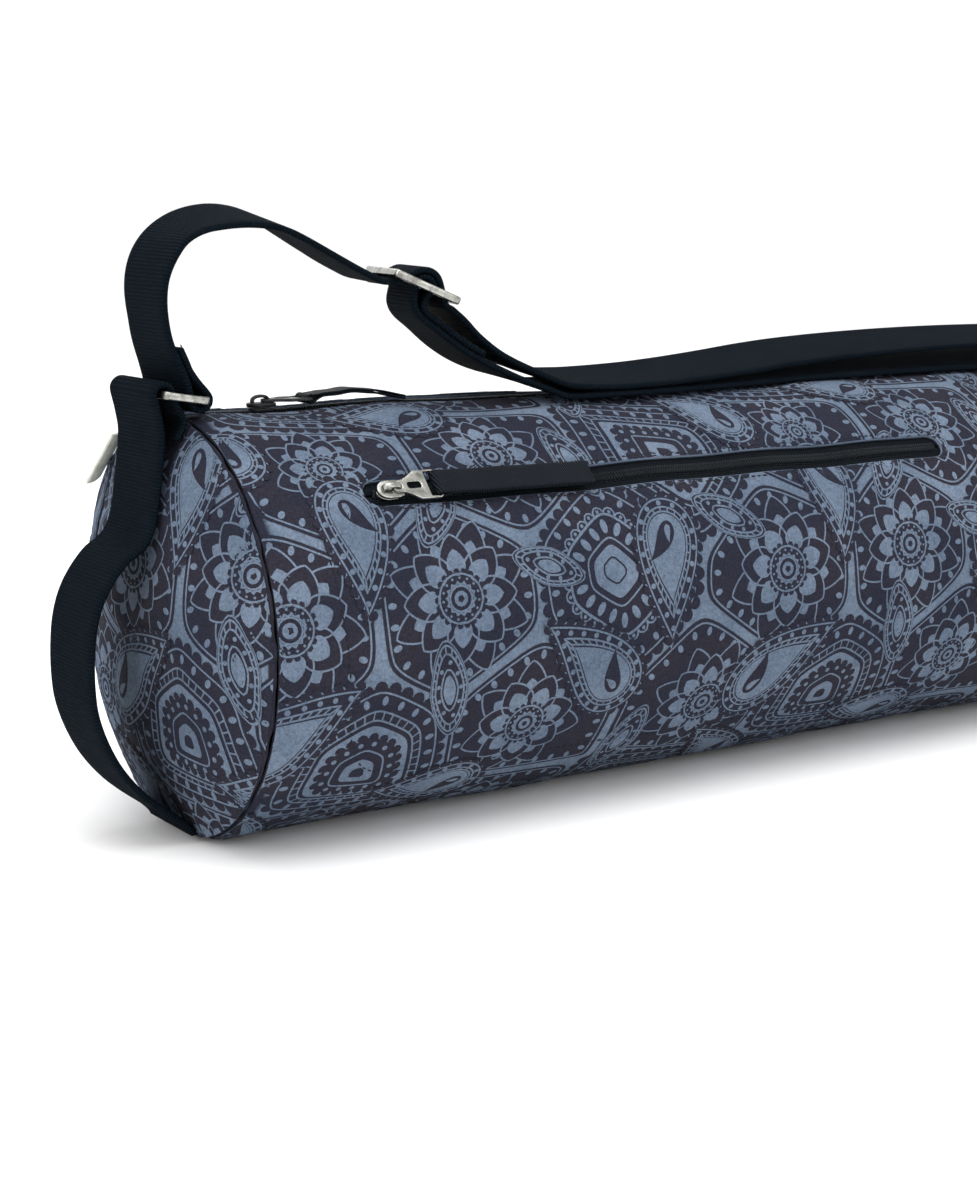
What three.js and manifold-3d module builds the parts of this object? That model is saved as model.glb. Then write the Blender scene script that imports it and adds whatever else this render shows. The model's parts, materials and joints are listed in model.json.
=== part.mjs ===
// Yoga mat bag: a stuffed canvas tube that lies on its side, with a zip along its top, a zipped pocket
// on its front, a webbing handle on each end and a shoulder strap that adjusts through a sliding buckle.
// Millimetres. +X runs along the bag, -Y is its front, +Z is up and the bag rests on Z = 0.
import * as THREE from "three";
import { mergeVertices } from "three/addons/utils/BufferGeometryUtils.js";
import Module from "manifold-3d";

// Bag
const bagLength = 680; // between the two end seams
const bagRadius = 80;
const restingWidth = 36; // flat stretch that the bag lies on
const clothThickness = 1.6;
const endBulge = 17.5; // how far the end panels are pushed out
const rimTuck = 1.8; // how far the cloth turns in at the end seams
const rimReach = 11;
const clothCreep = 1.8; // how far the slack cloth has crept along the bag between its seams
const clearance = 0.3; // between pieces that touch

// Zips
const zipOpening = 18; // slot along the top of the bag
const tapeOverlap = 5; // tape that runs on under the cloth
const tapeThickness = 1;
const tapeParting = 0.8; // between the two tapes of a zip
const coilWidth = 5;
const coilHeight = 1.5;
const zipSliderFromRim = 36; // main zip's slider, measured from the left end seam

// Pocket
const pocketMouthLength = 291;
const pocketMouthHeight = 11;
const pocketMouthFromRim = 45; // left end of the mouth, measured from the left end seam
const pocketMouthAngle = 131; // degrees round the section, from the bottom over the front
const pouchSideMargin = 21; // pouch cloth beyond each end of the mouth
const pouchTopMargin = 12;
const pouchDepth = 112; // from the middle of the mouth down to the lower stitching
const pouchThickness = 1;
const pocketSliderFromMouth = 10;

// Webbing
const webbingWidth = 38;
const webbingThickness = 2.4;
const handleReach = 43; // how far the end handle stands out from the end seam
const buckleReach = 101; // from the left ring to the buckle, along the bag
const buckleRise = 38.5; // buckle above the ring
const buckleDip = 24; // degrees that the buckle dips to the right
const buckleYaw = -16; // degrees that the buckle is turned
const loopRise = 65.5; // top of the strap's loop above the ring
const descentReach = 57; // from the buckle to where the strap lands on the bag
const strapArch = 8; // the upper strap's bow over the lower one
const tailLength = 15; // end of the webbing that is sewn back on itself

// Metal
const barSize = 3; // square bars of the rings and of the buckle
const ringPitch = 15; // between the two long bars of a ring
const ringInset = 2.5; // a ring's inner bar, measured in from the end seam
const ringTilt = 10; // degrees that a ring dips towards the bag
const sideRoom = 1; // between webbing and the side bars it runs between
const weaveSlope = 52; // degrees at which the strap climbs over the buckle's middle bar

// Zip sliders and pulls
const sliderLength = 11;
const sliderFlange = 1; // walls of the slider beside the coil
const sliderPlate = 1.5;
const bailRise = 3.4;
const bailWire = 1.2;
const bailFromMiddle = 3; // feet of the bail, from the middle of the slider
const noseLength = 3; // rounded front of a slider
const pullLength = 17;
const pullNarrow = 5;
const pullTaper = 7.6; // tapered part of a pull
const pullPlate = 1.2;
const ribbonWidth = 10;
const ribbonThickness = 0.9;
const pocketRibbonLength = 70;
const mainRibbonLength = 42;
const mainRibbonArch = 2.4;

// Label
const labelWidth = 34;
const labelLength = 14;
const labelThickness = 1.2;
const labelAngle = 219;
const labelOut = 0.45; // how far the label stands away from the seam, as a share of its length
const labelIn = 0.4; // how far it bends over the end panel, the same way

// Fineness of the faceted cloth
const facetsRound = 48;
const stepsAlong = 20;
const tightSpacing = 4; // between the stations of webbing where it bends
const looseSpacing = 6;
const straightSpacing = 12;

const wasm = await Module();
wasm.setup();

const finishes = {
  printedCanvas: { color: 0x4c4a58, roughness: 0.85, metalness: 0 },
  webbing: { color: 0x101215, roughness: 0.9, metalness: 0 },
  zipTape: { color: 0x0d0e11, roughness: 0.9, metalness: 0 },
  zipCoil: { color: 0x0c0c0e, roughness: 0.55, metalness: 0 },
  ribbon: { color: 0x0f1013, roughness: 0.6, metalness: 0 },
  nickel: { color: 0xb9b7ae, roughness: 0.3, metalness: 1 },
  blackMetal: { color: 0x17181a, roughness: 0.45, metalness: 0.6 },
  labelCloth: { color: 0xd9d5c3, roughness: 0.9, metalness: 0 },
};

const materials = {};
for (const [name, finish] of Object.entries(finishes)) {
  materials[name] = new THREE.MeshStandardMaterial(finish);
}

const bag = new THREE.Group();
const radians = THREE.MathUtils.degToRad;
const leftRim = -bagLength / 2;

// Adds one named piece to a group.
function addPiece(name, geometry, material, group = bag) {
  const mesh = new THREE.Mesh(geometry, material);
  mesh.name = name;
  group.add(mesh);
  return mesh;
}

// Joins and cuts, through solids whose shared corners are merged.
function solidFrom(geometry) {
  const bare = geometry.clone();
  bare.deleteAttribute("normal");
  bare.deleteAttribute("uv");
  const merged = mergeVertices(bare, 1e-4);
  const vertProperties = merged.attributes.position.array;
  const triVerts = new Uint32Array(merged.index.array);
  return new wasm.Manifold(new wasm.Mesh({ numProp: 3, vertProperties, triVerts }));
}

function geometryFrom(solid) {
  const mesh = solid.getMesh();
  const geometry = new THREE.BufferGeometry();
  geometry.setAttribute("position", new THREE.BufferAttribute(new Float32Array(mesh.vertProperties), 3));
  geometry.setIndex(new THREE.BufferAttribute(new Uint32Array(mesh.triVerts), 1));
  geometry.computeVertexNormals();
  return geometry;
}

// Dents in the stuffed cloth: the middle of each (share of the length, degrees round the section),
// its reach (share of the length, degrees) and how far it sinks (share of the radius).
const softDents = [
  { along: 0.036, around: 146, reachAlong: 0.022, reachAround: 11, sink: 0.022 },
  { along: 0.04, around: 86, reachAlong: 0.018, reachAround: 26, sink: 0.011 },
  { along: 0.05, around: 214, reachAlong: 0.03, reachAround: 12, sink: 0.024 },
  { along: 0.3, around: 62, reachAlong: 0.1, reachAround: 16, sink: 0.012 },
  { along: 0.42, around: 250, reachAlong: 0.12, reachAround: 22, sink: 0.022 },
  { along: 0.74, around: 78, reachAlong: 0.09, reachAround: 20, sink: 0.016 },
  { along: 0.955, around: 212, reachAlong: 0.03, reachAround: 12, sink: 0.022 },
  { along: 0.962, around: 144, reachAlong: 0.022, reachAround: 12, sink: 0.022 },
];

// How far the cloth is drawn in at a place on the bag.
function drawnIn(x, angle) {
  const fromRim = Math.min(x - leftRim, bagLength / 2 - x);
  const tuckShare = THREE.MathUtils.clamp(1 - fromRim / rimReach, 0, 1);
  let depth = rimTuck * tuckShare * tuckShare;
  for (const dent of softDents) {
    const along = ((x - leftRim) / bagLength - dent.along) / dent.reachAlong;
    const around = (THREE.MathUtils.euclideanModulo(angle, 360) - dent.around) / dent.reachAround;
    depth += dent.sink * bagRadius * Math.exp(-along * along - around * around);
  }
  return depth;
}

// How far the cloth has crept along the bag at a place: not at all at the seams, and most half way.
function creptAlong(x, angle) {
  const share = THREE.MathUtils.clamp((x - leftRim) / bagLength, 0, 1);
  const swing = Math.sin(radians(angle) + 5 * share) + Math.cos(3 * radians(angle)) / 2;
  return clothCreep * Math.sin(Math.PI * share) * swing;
}

// A place on the bag, at a depth under the outside of its cloth. Angles start at the bottom and pass the
// front at 90 degrees. The lower half is a little deeper than a circle and is cut flat where it rests.
const lowerRadius = bagRadius / Math.sqrt(1 - (restingWidth / 2 / bagRadius) ** 2);
function onSkin(x, angle, depth) {
  const turn = radians(angle);
  const inward = depth + drawnIn(x, angle);
  const tall = Math.cos(turn) > 0 ? lowerRadius : bagRadius;
  const y = -(bagRadius - inward) * Math.sin(turn);
  const z = bagRadius - (tall - inward) * Math.cos(turn);
  return new THREE.Vector3(x + creptAlong(x, angle), y, Math.max(z, inward));
}

// The frame of a small piece on the bag: X along the bag, Y up the cloth, Z out of the cloth.
function skinFrame(x, angle) {
  const turn = radians(angle);
  const along = new THREE.Vector3(1, 0, 0);
  const up = new THREE.Vector3(0, -Math.cos(turn), Math.sin(turn));
  const out = new THREE.Vector3(0, -Math.sin(turn), -Math.cos(turn));
  return new THREE.Matrix4().makeBasis(along, up, out).setPosition(onSkin(x, angle, 0));
}

// The angles of a band's corners: its two edges and the common facets between them.
function facetAngles(fromAngle, toAngle) {
  const step = 360 / facetsRound;
  const nearest = 0.5;
  const angles = [fromAngle];
  const first = Math.ceil((fromAngle + nearest) / step) * step;
  for (let turn = first; turn < toAngle - nearest; turn += step) angles.push(turn);
  angles.push(toAngle);
  return angles;
}

// A band of cloth on the bag, between two angles, two depths and two places along it. The bag's whole
// length is divided more finely towards its ends, and every band shares that division.
const endCrowding = 0.6;
function clothBand(fromAngle, toAngle, outerDepth, innerDepth, fromX, toX) {
  const angles = facetAngles(fromAngle, toAngle);
  const outline = [
    ...angles.map((angle) => new THREE.Vector2(angle, outerDepth)),
    ...angles.toReversed().map((angle) => new THREE.Vector2(angle, innerDepth)),
  ];
  const steps = Math.max(2, Math.ceil((stepsAlong * (toX - fromX)) / bagLength));
  const settings = { depth: 1, steps, bevelEnabled: false };
  const band = new THREE.ExtrudeGeometry(new THREE.Shape(outline), settings);
  const corners = band.attributes.position;
  const crowding = toX - fromX > bagLength / 2 ? endCrowding : 0;
  for (let i = 0; i < corners.count; i += 1) {
    const share = corners.getZ(i) - (crowding * Math.sin(2 * Math.PI * corners.getZ(i))) / (2 * Math.PI);
    const place = onSkin(fromX + share * (toX - fromX), corners.getX(i), corners.getY(i));
    corners.setXYZ(i, place.x, place.y, place.z);
  }
  return outwards(band);
}

// Turns a closed geometry's faces to point out.
function outwards(geometry) {
  const closed = geometry.index ? geometry.toNonIndexed() : geometry;
  if (solidFrom(closed).volume() >= 0) return closed;
  const corners = closed.attributes.position;
  for (let i = 0; i < corners.count; i += 3) {
    const kept = new THREE.Vector3().fromBufferAttribute(corners, i + 1);
    corners.copyAt(i + 1, corners, i + 2);
    corners.setXYZ(i + 2, kept.x, kept.y, kept.z);
  }
  closed.computeVertexNormals();
  return closed;
}

// A strip of webbing through a row of stations, each the far and the near edge of its middle surface.
function strip(stations, thickness) {
  const last = stations.length - 1;
  const positions = [];
  stations.forEach((station, i) => {
    const before = stations[Math.max(i - 1, 0)];
    const after = stations[Math.min(i + 1, last)];
    const run = new THREE.Vector3().addVectors(after.far, after.near).sub(before.far).sub(before.near);
    const across = new THREE.Vector3().subVectors(station.near, station.far);
    const half = new THREE.Vector3().crossVectors(run, across).setLength(thickness / 2);
    for (const edge of [station.far, station.near]) {
      positions.push(...edge.clone().add(half).toArray(), ...edge.clone().sub(half).toArray());
    }
  });
  const index = [];
  const quad = (a, b, c, d) => index.push(a, b, c, a, c, d);
  for (let i = 0; i < last; i += 1) {
    const from = 4 * i;
    const to = from + 4;
    quad(from, to, to + 2, from + 2);
    quad(from + 1, from + 3, to + 3, to + 1);
    quad(from, from + 1, to + 1, to);
    quad(from + 2, to + 2, to + 3, from + 3);
  }
  const end = 4 * last;
  quad(0, 2, 3, 1);
  quad(end, end + 1, end + 3, end + 2);
  const geometry = new THREE.BufferGeometry();
  geometry.setAttribute("position", new THREE.Float32BufferAttribute(positions, 3));
  geometry.setIndex(index);
  return outwards(geometry);
}

// A station of webbing that lies across the bag. Skew puts its near edge ahead of the far one along the
// bag, drop puts it lower and shift moves the whole strap to the front, as shares of the width.
function across(x, z, skew = 0, drop = 0, shift = 0, width = webbingWidth) {
  const offset = new THREE.Vector3((skew * width) / 2, -width / 2, (-drop * width) / 2);
  const middle = new THREE.Vector3(x, -shift * width, z);
  return { far: middle.clone().sub(offset), near: middle.clone().add(offset) };
}

// Stations on an arc round a bar, from one angle to another, in the plane across the bar.
function wrapStations(barX, barZ, radius, fromAngle, toAngle, width = webbingWidth) {
  const count = Math.max(3, Math.round(Math.abs(toAngle - fromAngle) / 22));
  const stations = [];
  for (let i = 0; i <= count; i += 1) {
    const turn = radians(fromAngle + ((toAngle - fromAngle) * i) / count);
    stations.push(across(barX + radius * Math.cos(turn), barZ + radius * Math.sin(turn), 0, 0, 0, width));
  }
  return stations;
}

// A smooth run through stations, with extra ones between them.
function smoothRun(stations, spacing) {
  const edge = (side) =>
    new THREE.CatmullRomCurve3(stations.map((station) => station[side]), false, "centripetal");
  const farEdge = edge("far");
  const nearEdge = edge("near");
  const count = Math.max(stations.length, Math.round(farEdge.getLength() / spacing));
  const run = [];
  for (let i = 0; i <= count; i += 1) {
    run.push({ far: farEdge.getPoint(i / count), near: nearEdge.getPoint(i / count) });
  }
  return run;
}

// The same stations, moved off the webbing's face by one layer, for an end that is sewn back on it.
function layerOn(stations, offset) {
  const last = stations.length - 1;
  return stations.map((station, i) => {
    const before = stations[Math.max(i - 1, 0)];
    const after = stations[Math.min(i + 1, last)];
    const run = new THREE.Vector3().addVectors(after.far, after.near).sub(before.far).sub(before.near);
    const width = new THREE.Vector3().subVectors(station.near, station.far);
    const lift = new THREE.Vector3().crossVectors(run, width).setLength(Math.abs(offset));
    if (offset < 0) lift.negate();
    return { far: station.far.clone().add(lift), near: station.near.clone().add(lift) };
  });
}

// Body panel, with the slot for the main zip and the pocket's mouth
const zipHalfAngle = THREE.MathUtils.radToDeg(zipOpening / 2 / bagRadius);
const bodySeam = clearance / 2;
const bodyCloth = clothBand(
  -(180 - zipHalfAngle),
  180 - zipHalfAngle,
  0,
  clothThickness,
  leftRim + bodySeam,
  bagLength / 2 - bodySeam,
);

const mouthMiddle = leftRim + pocketMouthFromRim + pocketMouthLength / 2;
const mouthFrame = skinFrame(mouthMiddle, pocketMouthAngle);

// The pocket mouth's outline, a slot with round ends.
function slotShape(length, height) {
  const radius = height / 2;
  const straight = length / 2 - radius;
  const slot = new THREE.Shape();
  slot.moveTo(-straight, -radius);
  slot.lineTo(straight, -radius);
  slot.absarc(straight, 0, radius, -Math.PI / 2, Math.PI / 2);
  slot.lineTo(-straight, radius);
  slot.absarc(-straight, 0, radius, Math.PI / 2, (3 * Math.PI) / 2);
  return slot;
}

const cutDepth = 4 * clothThickness;
const mouthCutter = new THREE.ExtrudeGeometry(slotShape(pocketMouthLength, pocketMouthHeight), {
  depth: 2 * cutDepth,
  bevelEnabled: false,
  curveSegments: 5,
});
mouthCutter.translate(0, 0, -cutDepth).applyMatrix4(mouthFrame);
const bodyPanel = geometryFrom(solidFrom(bodyCloth).subtract(solidFrom(mouthCutter)));
addPiece("body_panel", bodyPanel, materials.printedCanvas);

// Zips: two tapes under the edges of an opening, and the coil between them level with the cloth
const tapeDepth = clothThickness + clearance;
const degreesFor = (arc) => THREE.MathUtils.radToDeg(arc / bagRadius);

function addZip(name, angle, openingWidth, fromX, toX, coilFromX, coilToX) {
  const inner = degreesFor(tapeParting / 2);
  const outer = degreesFor(openingWidth / 2 + tapeOverlap);
  const innerDepth = tapeDepth + tapeThickness;
  const lowerTape = clothBand(angle - outer, angle - inner, tapeDepth, innerDepth, fromX, toX);
  const upperTape = clothBand(angle + inner, angle + outer, tapeDepth, innerDepth, fromX, toX);
  const coilHalf = degreesFor(coilWidth / 2);
  const coilDepth = tapeDepth - clearance;
  const coilTop = coilDepth - coilHeight;
  const coil = clothBand(angle - coilHalf, angle + coilHalf, coilTop, coilDepth, coilFromX, coilToX);
  addPiece(name + "_tape_front", lowerTape, materials.zipTape);
  addPiece(name + "_tape_back", upperTape, materials.zipTape);
  addPiece(name + "_coil", coil, materials.zipCoil);
}

const zipEndRoom = 12; // tape without coil at each end of the main zip
addZip(
  "main_zip",
  180,
  zipOpening,
  leftRim + bodySeam,
  bagLength / 2 - bodySeam,
  leftRim + zipEndRoom,
  bagLength / 2 - zipEndRoom,
);
const mouthLeft = mouthMiddle - pocketMouthLength / 2;
const mouthRight = mouthMiddle + pocketMouthLength / 2;
const coilEndRoom = 4;
addZip(
  "pocket_zip",
  pocketMouthAngle,
  pocketMouthHeight,
  mouthLeft - tapeOverlap,
  mouthRight + tapeOverlap,
  mouthLeft + coilEndRoom,
  mouthRight - coilEndRoom,
);

// Pouch of the pocket, sewn to the inside of the body panel
const pouchOuterDepth = tapeDepth + tapeThickness + clearance;
const pouch = clothBand(
  pocketMouthAngle - degreesFor(pouchDepth),
  pocketMouthAngle + degreesFor(pouchTopMargin),
  pouchOuterDepth,
  pouchOuterDepth + pouchThickness,
  mouthLeft - pouchSideMargin,
  mouthRight + pouchSideMargin,
);
addPiece("pocket_pouch", pouch, materials.printedCanvas);

// A zip slider, its pull and the ribbon on the pull, in the frame of the cloth under the coil.
function pullPlateGeometry(ribbonSlot) {
  const wide = ribbonWidth + 2 * bailWire;
  const plate = new THREE.Shape();
  plate.moveTo(-pullNarrow / 2, -pullNarrow / 2);
  plate.lineTo(pullTaper, -wide / 2);
  plate.lineTo(pullLength, -wide / 2);
  plate.lineTo(pullLength, wide / 2);
  plate.lineTo(pullTaper, wide / 2);
  plate.lineTo(-pullNarrow / 2, pullNarrow / 2);
  const eye = new THREE.Path();
  eye.absarc(0, 0, bailWire / 2 + 2 * clearance, 0, 2 * Math.PI, true);
  const window = new THREE.Path();
  const slotFrom = pullLength - bailWire - ribbonSlot;
  window.moveTo(slotFrom, -ribbonWidth / 2 - clearance);
  window.lineTo(slotFrom, ribbonWidth / 2 + clearance);
  window.lineTo(pullLength - bailWire, ribbonWidth / 2 + clearance);
  window.lineTo(pullLength - bailWire, -ribbonWidth / 2 - clearance);
  plate.holes.push(eye, window);
  return new THREE.ExtrudeGeometry(plate, { depth: pullPlate, bevelEnabled: false, curveSegments: 5 });
}

function sliderGeometry() {
  const inside = coilWidth / 2 + clearance;
  const outside = inside + sliderFlange;
  const foot = -(coilHeight - clearance);
  const section = new THREE.Shape();
  section.moveTo(-outside, foot);
  section.lineTo(-inside, foot);
  section.lineTo(-inside, 2 * clearance);
  section.lineTo(inside, 2 * clearance);
  section.lineTo(inside, foot);
  section.lineTo(outside, foot);
  section.lineTo(outside, sliderPlate);
  section.lineTo(-outside, sliderPlate);
  const channel = new THREE.ExtrudeGeometry(section, { depth: sliderLength, bevelEnabled: false });
  const along = new THREE.Matrix4().makeBasis(
    new THREE.Vector3(0, 1, 0),
    new THREE.Vector3(0, 0, 1),
    new THREE.Vector3(1, 0, 0),
  );
  channel.applyMatrix4(along).translate(-sliderLength / 2, 0, 0);
  const noseCut = new THREE.Shape();
  noseCut.moveTo(-sliderLength, -sliderLength);
  const tip = -sliderLength / 2;
  const shoulder = tip + noseLength;
  noseCut.lineTo(shoulder, -sliderLength);
  noseCut.lineTo(shoulder, -outside);
  noseCut.quadraticCurveTo(tip, -outside, tip, 0);
  noseCut.quadraticCurveTo(tip, outside, shoulder, outside);
  noseCut.lineTo(shoulder, sliderLength);
  noseCut.lineTo(-sliderLength, sliderLength);
  const noseDepth = 4 * sliderPlate + coilHeight;
  const nose = new THREE.ExtrudeGeometry(noseCut, { depth: noseDepth, bevelEnabled: false });
  nose.translate(0, 0, foot - sliderPlate);
  const bailFoot = sliderPlate - bailWire / 4;
  const bailSide = sliderPlate + bailRise * 0.55;
  const bailTop = sliderPlate + bailRise;
  const bailPath = new THREE.CatmullRomCurve3([
    new THREE.Vector3(-bailFromMiddle, 0, bailFoot),
    new THREE.Vector3(-bailFromMiddle, 0, bailSide),
    new THREE.Vector3(-bailFromMiddle / 2, 0, bailTop),
    new THREE.Vector3(bailFromMiddle / 2, 0, bailTop),
    new THREE.Vector3(bailFromMiddle, 0, bailSide),
    new THREE.Vector3(bailFromMiddle, 0, bailFoot),
  ]);
  const wire = new THREE.Shape();
  wire.absarc(0, 0, bailWire / 2, 0, 2 * Math.PI);
  const bail = new THREE.ExtrudeGeometry(wire, { extrudePath: bailPath, steps: 12, curveSegments: 4 });
  return geometryFrom(solidFrom(channel).subtract(solidFrom(nose)).add(solidFrom(outwards(bail))));
}

// The ribbon is one strip folded round the pull's end bar, its two halves lying on each other.
function ribbonGeometry(length, pullHeight, arch) {
  const barMiddle = pullLength - bailWire / 2;
  const barHeight = pullHeight + pullPlate / 2;
  const wrapRadius = Math.hypot(bailWire, pullPlate) / 2 + clearance + ribbonThickness / 2;
  const lay = (share, layer) => {
    const bow = arch * Math.sin(Math.PI * share) + (1 - share) * (barHeight - 2 * clearance);
    const settle = clearance + ribbonThickness / 2 + layer * (ribbonThickness + clearance);
    const x = barMiddle + wrapRadius + share * (length - wrapRadius);
    return across(x, settle + bow, 0, 0, 0, ribbonWidth);
  };
  const shares = [1, 0.8, 0.6, 0.4, 0.2, 0.08];
  const lower = shares.map((share) => lay(share, 0));
  const upper = shares.toReversed().map((share) => lay(share, 1));
  const fold = wrapStations(barMiddle, barHeight, wrapRadius, 300, 60, ribbonWidth);
  return strip([...lower, ...fold, ...upper], ribbonThickness);
}

function addSlider(name, x, angle, ribbonLength, ribbonArch, metal) {
  const group = new THREE.Group();
  group.applyMatrix4(skinFrame(x, angle));
  bag.add(group);
  const pullHeight = sliderPlate + 2 * clearance;
  addPiece(name + "_slider", sliderGeometry(), metal, group);
  const onPull = new THREE.Group();
  onPull.position.x = bailFromMiddle;
  group.add(onPull);
  const ribbonSlot = 2 * ribbonThickness + 6 * clearance;
  const pull = pullPlateGeometry(ribbonSlot).translate(0, 0, pullHeight);
  addPiece(name + "_pull", pull, metal, onPull);
  const ribbon = ribbonGeometry(ribbonLength, pullHeight, ribbonArch);
  addPiece(name + "_ribbon", ribbon, materials.ribbon, onPull);
}

const mainSliderX = leftRim + zipSliderFromRim;
addSlider("main_zip", mainSliderX, 180, mainRibbonLength, mainRibbonArch, materials.blackMetal);
addSlider(
  "pocket_zip",
  mouthLeft + pocketSliderFromMouth,
  pocketMouthAngle,
  pocketRibbonLength,
  0,
  materials.nickel,
);

// End panels: domed cloth that meets the body panel at its rim. How far a place stands out from the end
// seam depends on its share of the way from the middle to the rim.
const domePower = 2.6;
const domeStand = (share) => endBulge * (1 - share ** domePower);

function endPanelGeometry() {
  const shares = [0, 0.3, 0.55, 0.75, 0.9, 1];
  const rings = [];
  for (const layer of [clothThickness, 0]) {
    for (const share of shares) {
      const ring = [];
      for (let i = 0; i < facetsRound; i += 1) {
        const rim = onSkin(leftRim, (360 * i) / facetsRound, 0);
        const x = -(bodySeam + layer + domeStand(share));
        ring.push(new THREE.Vector3(x, rim.y * share, bagRadius + (rim.z - bagRadius) * share));
      }
      rings.push(ring);
    }
  }
  const last = shares.length - 1;
  const corners = [];
  const face = (a, b, c) => corners.push(a, b, c);
  const skin = (inner, outer, turned) => {
    for (let i = 0; i < facetsRound; i += 1) {
      const j = (i + 1) % facetsRound;
      const square = [inner[i], outer[i], outer[j], inner[j]];
      if (turned) square.reverse();
      face(square[0], square[1], square[2]);
      face(square[0], square[2], square[3]);
    }
  };
  for (let k = 0; k < last; k += 1) {
    skin(rings[k], rings[k + 1], false);
    skin(rings[last + 1 + k], rings[last + 2 + k], true);
  }
  skin(rings[last], rings[2 * last + 1], false);
  const geometry = new THREE.BufferGeometry().setFromPoints(corners);
  return outwards(geometryFrom(solidFrom(geometry)));
}

// Rings of square bar. The outer bar carries the handle and the inner bar the shoulder strap.
const barCorner = barSize / Math.SQRT2;
const wrapRadius = barCorner + clearance + webbingThickness / 2;
const innerBarHeight = 2 * bagRadius + clearance + wrapRadius + webbingThickness / 2;
const innerBar = new THREE.Vector3(ringInset, 0, innerBarHeight);
const outerBar = innerBar.clone().add(
  new THREE.Vector3(-Math.cos(radians(ringTilt)), 0, Math.sin(radians(ringTilt))).multiplyScalar(ringPitch),
);

// A flat frame of square bar with slots between its cross bars, lying in its own XY plane.
function barFrameGeometry(pitch, slots) {
  const halfLong = (pitch * slots + barSize) / 2;
  const halfWide = webbingWidth / 2 + sideRoom + barSize;
  const corner = barSize * 0.6;
  const frame = new THREE.Shape();
  frame.moveTo(-halfLong + corner, -halfWide);
  frame.lineTo(halfLong - corner, -halfWide);
  frame.quadraticCurveTo(halfLong, -halfWide, halfLong, -halfWide + corner);
  frame.lineTo(halfLong, halfWide - corner);
  frame.quadraticCurveTo(halfLong, halfWide, halfLong - corner, halfWide);
  frame.lineTo(-halfLong + corner, halfWide);
  frame.quadraticCurveTo(-halfLong, halfWide, -halfLong, halfWide - corner);
  frame.lineTo(-halfLong, -halfWide + corner);
  frame.quadraticCurveTo(-halfLong, -halfWide, -halfLong + corner, -halfWide);
  const settings = { depth: barSize, bevelEnabled: false, curveSegments: 4 };
  let solid = solidFrom(new THREE.ExtrudeGeometry(frame, settings).translate(0, 0, -barSize / 2));
  for (let i = 0; i < slots; i += 1) {
    const slot = new THREE.BoxGeometry(pitch - barSize, 2 * (halfWide - barSize), 2 * barSize);
    slot.translate(-halfLong + (barSize + pitch) / 2 + i * pitch, 0, 0);
    solid = solid.subtract(solidFrom(slot));
  }
  return geometryFrom(solid);
}

// End handle. From the upper end seam it passes through the ring, over the ring's outer bar, and down the
// end of the bag, off which it stands, to the lower end seam. Places as shares of its reach and of the
// bag's height.
const handlePath = [
  { out: 0.33, up: 1.0 },
  { out: 0.305, up: 0.955 },
  { out: 0.33, up: 0.885 },
  { out: 0.37, up: 0.815 },
  { out: 0.415, up: 0.745 },
  { out: 0.52, up: 0.705 },
  { out: 0.64, up: 0.685 },
  { out: 0.77, up: 0.648 },
  { out: 0.885, up: 0.6 },
  { out: 0.96, up: 0.543 },
  { out: 0.995, up: 0.475 },
  { out: 1.0, up: 0.4 },
  { out: 0.975, up: 0.335 },
  { out: 0.89, up: 0.265 },
  { out: 0.765, up: 0.2 },
  { out: 0.58, up: 0.138 },
  { out: 0.38, up: 0.09 },
  { out: 0.22, up: 0.058 },
  { out: 0.0, up: 0.034 },
  { out: 0.0, up: 0.023 },
];

// The nearest that webbing comes to an end panel at a height.
function besideEnd(height) {
  const share = Math.min(Math.abs(height - bagRadius) / (bagRadius - rimTuck), 1);
  return -(bodySeam + clothThickness + domeStand(share) + 2 * clearance + webbingThickness / 2);
}

const seamHeights = [0.945, 0.965, 0.985]; // upper end of the handle, sewn on the end panel
const overRim = 2.2; // height at which the handle passes the upper end seam

function handleGeometry() {
  const seam = seamHeights.map((up) => across(besideEnd(up * 2 * bagRadius), up * 2 * bagRadius));
  const riseX = (seam[2].far.x + outerBar.x + wrapRadius) / 2 - clearance;
  const rise = across(riseX, bagRadius * 2 + overRim);
  const fold = wrapStations(outerBar.x, outerBar.z, wrapRadius, 0, 180);
  const down = handlePath.map(({ out, up }) => {
    const z = up * 2 * bagRadius;
    return across(Math.min(-out * handleReach, besideEnd(z)), z);
  });
  const root = smoothRun([...seam, rise, fold[0]], tightSpacing).slice(0, -1);
  const hang = smoothRun([fold.at(-1), ...down], looseSpacing).slice(1);
  return strip([...root, ...fold, ...hang], webbingThickness);
}

// Label, a folded strip sewn into the end seam and lying out along the end panel
function labelGeometry() {
  const rim = onSkin(leftRim, labelAngle, 0);
  const turn = radians(labelAngle);
  const sideways = new THREE.Vector3(0, -Math.cos(turn), Math.sin(turn));
  const inwards = new THREE.Vector3(0, Math.sin(turn), Math.cos(turn));
  const root = bodySeam + clothThickness + clearance + labelThickness;
  const stations = [0, 0.3, 0.65, 1].map((share) => {
    const middle = new THREE.Vector3(0, rim.y, rim.z);
    middle.x = -root - labelLength * labelOut * share;
    middle.addScaledVector(inwards, 2 * clearance + labelLength * labelIn * share * (1 - share / 2));
    const half = sideways.clone().multiplyScalar(labelWidth / 2);
    return { far: middle.clone().add(half), near: middle.clone().sub(half) };
  });
  return strip(stations, labelThickness);
}

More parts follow.
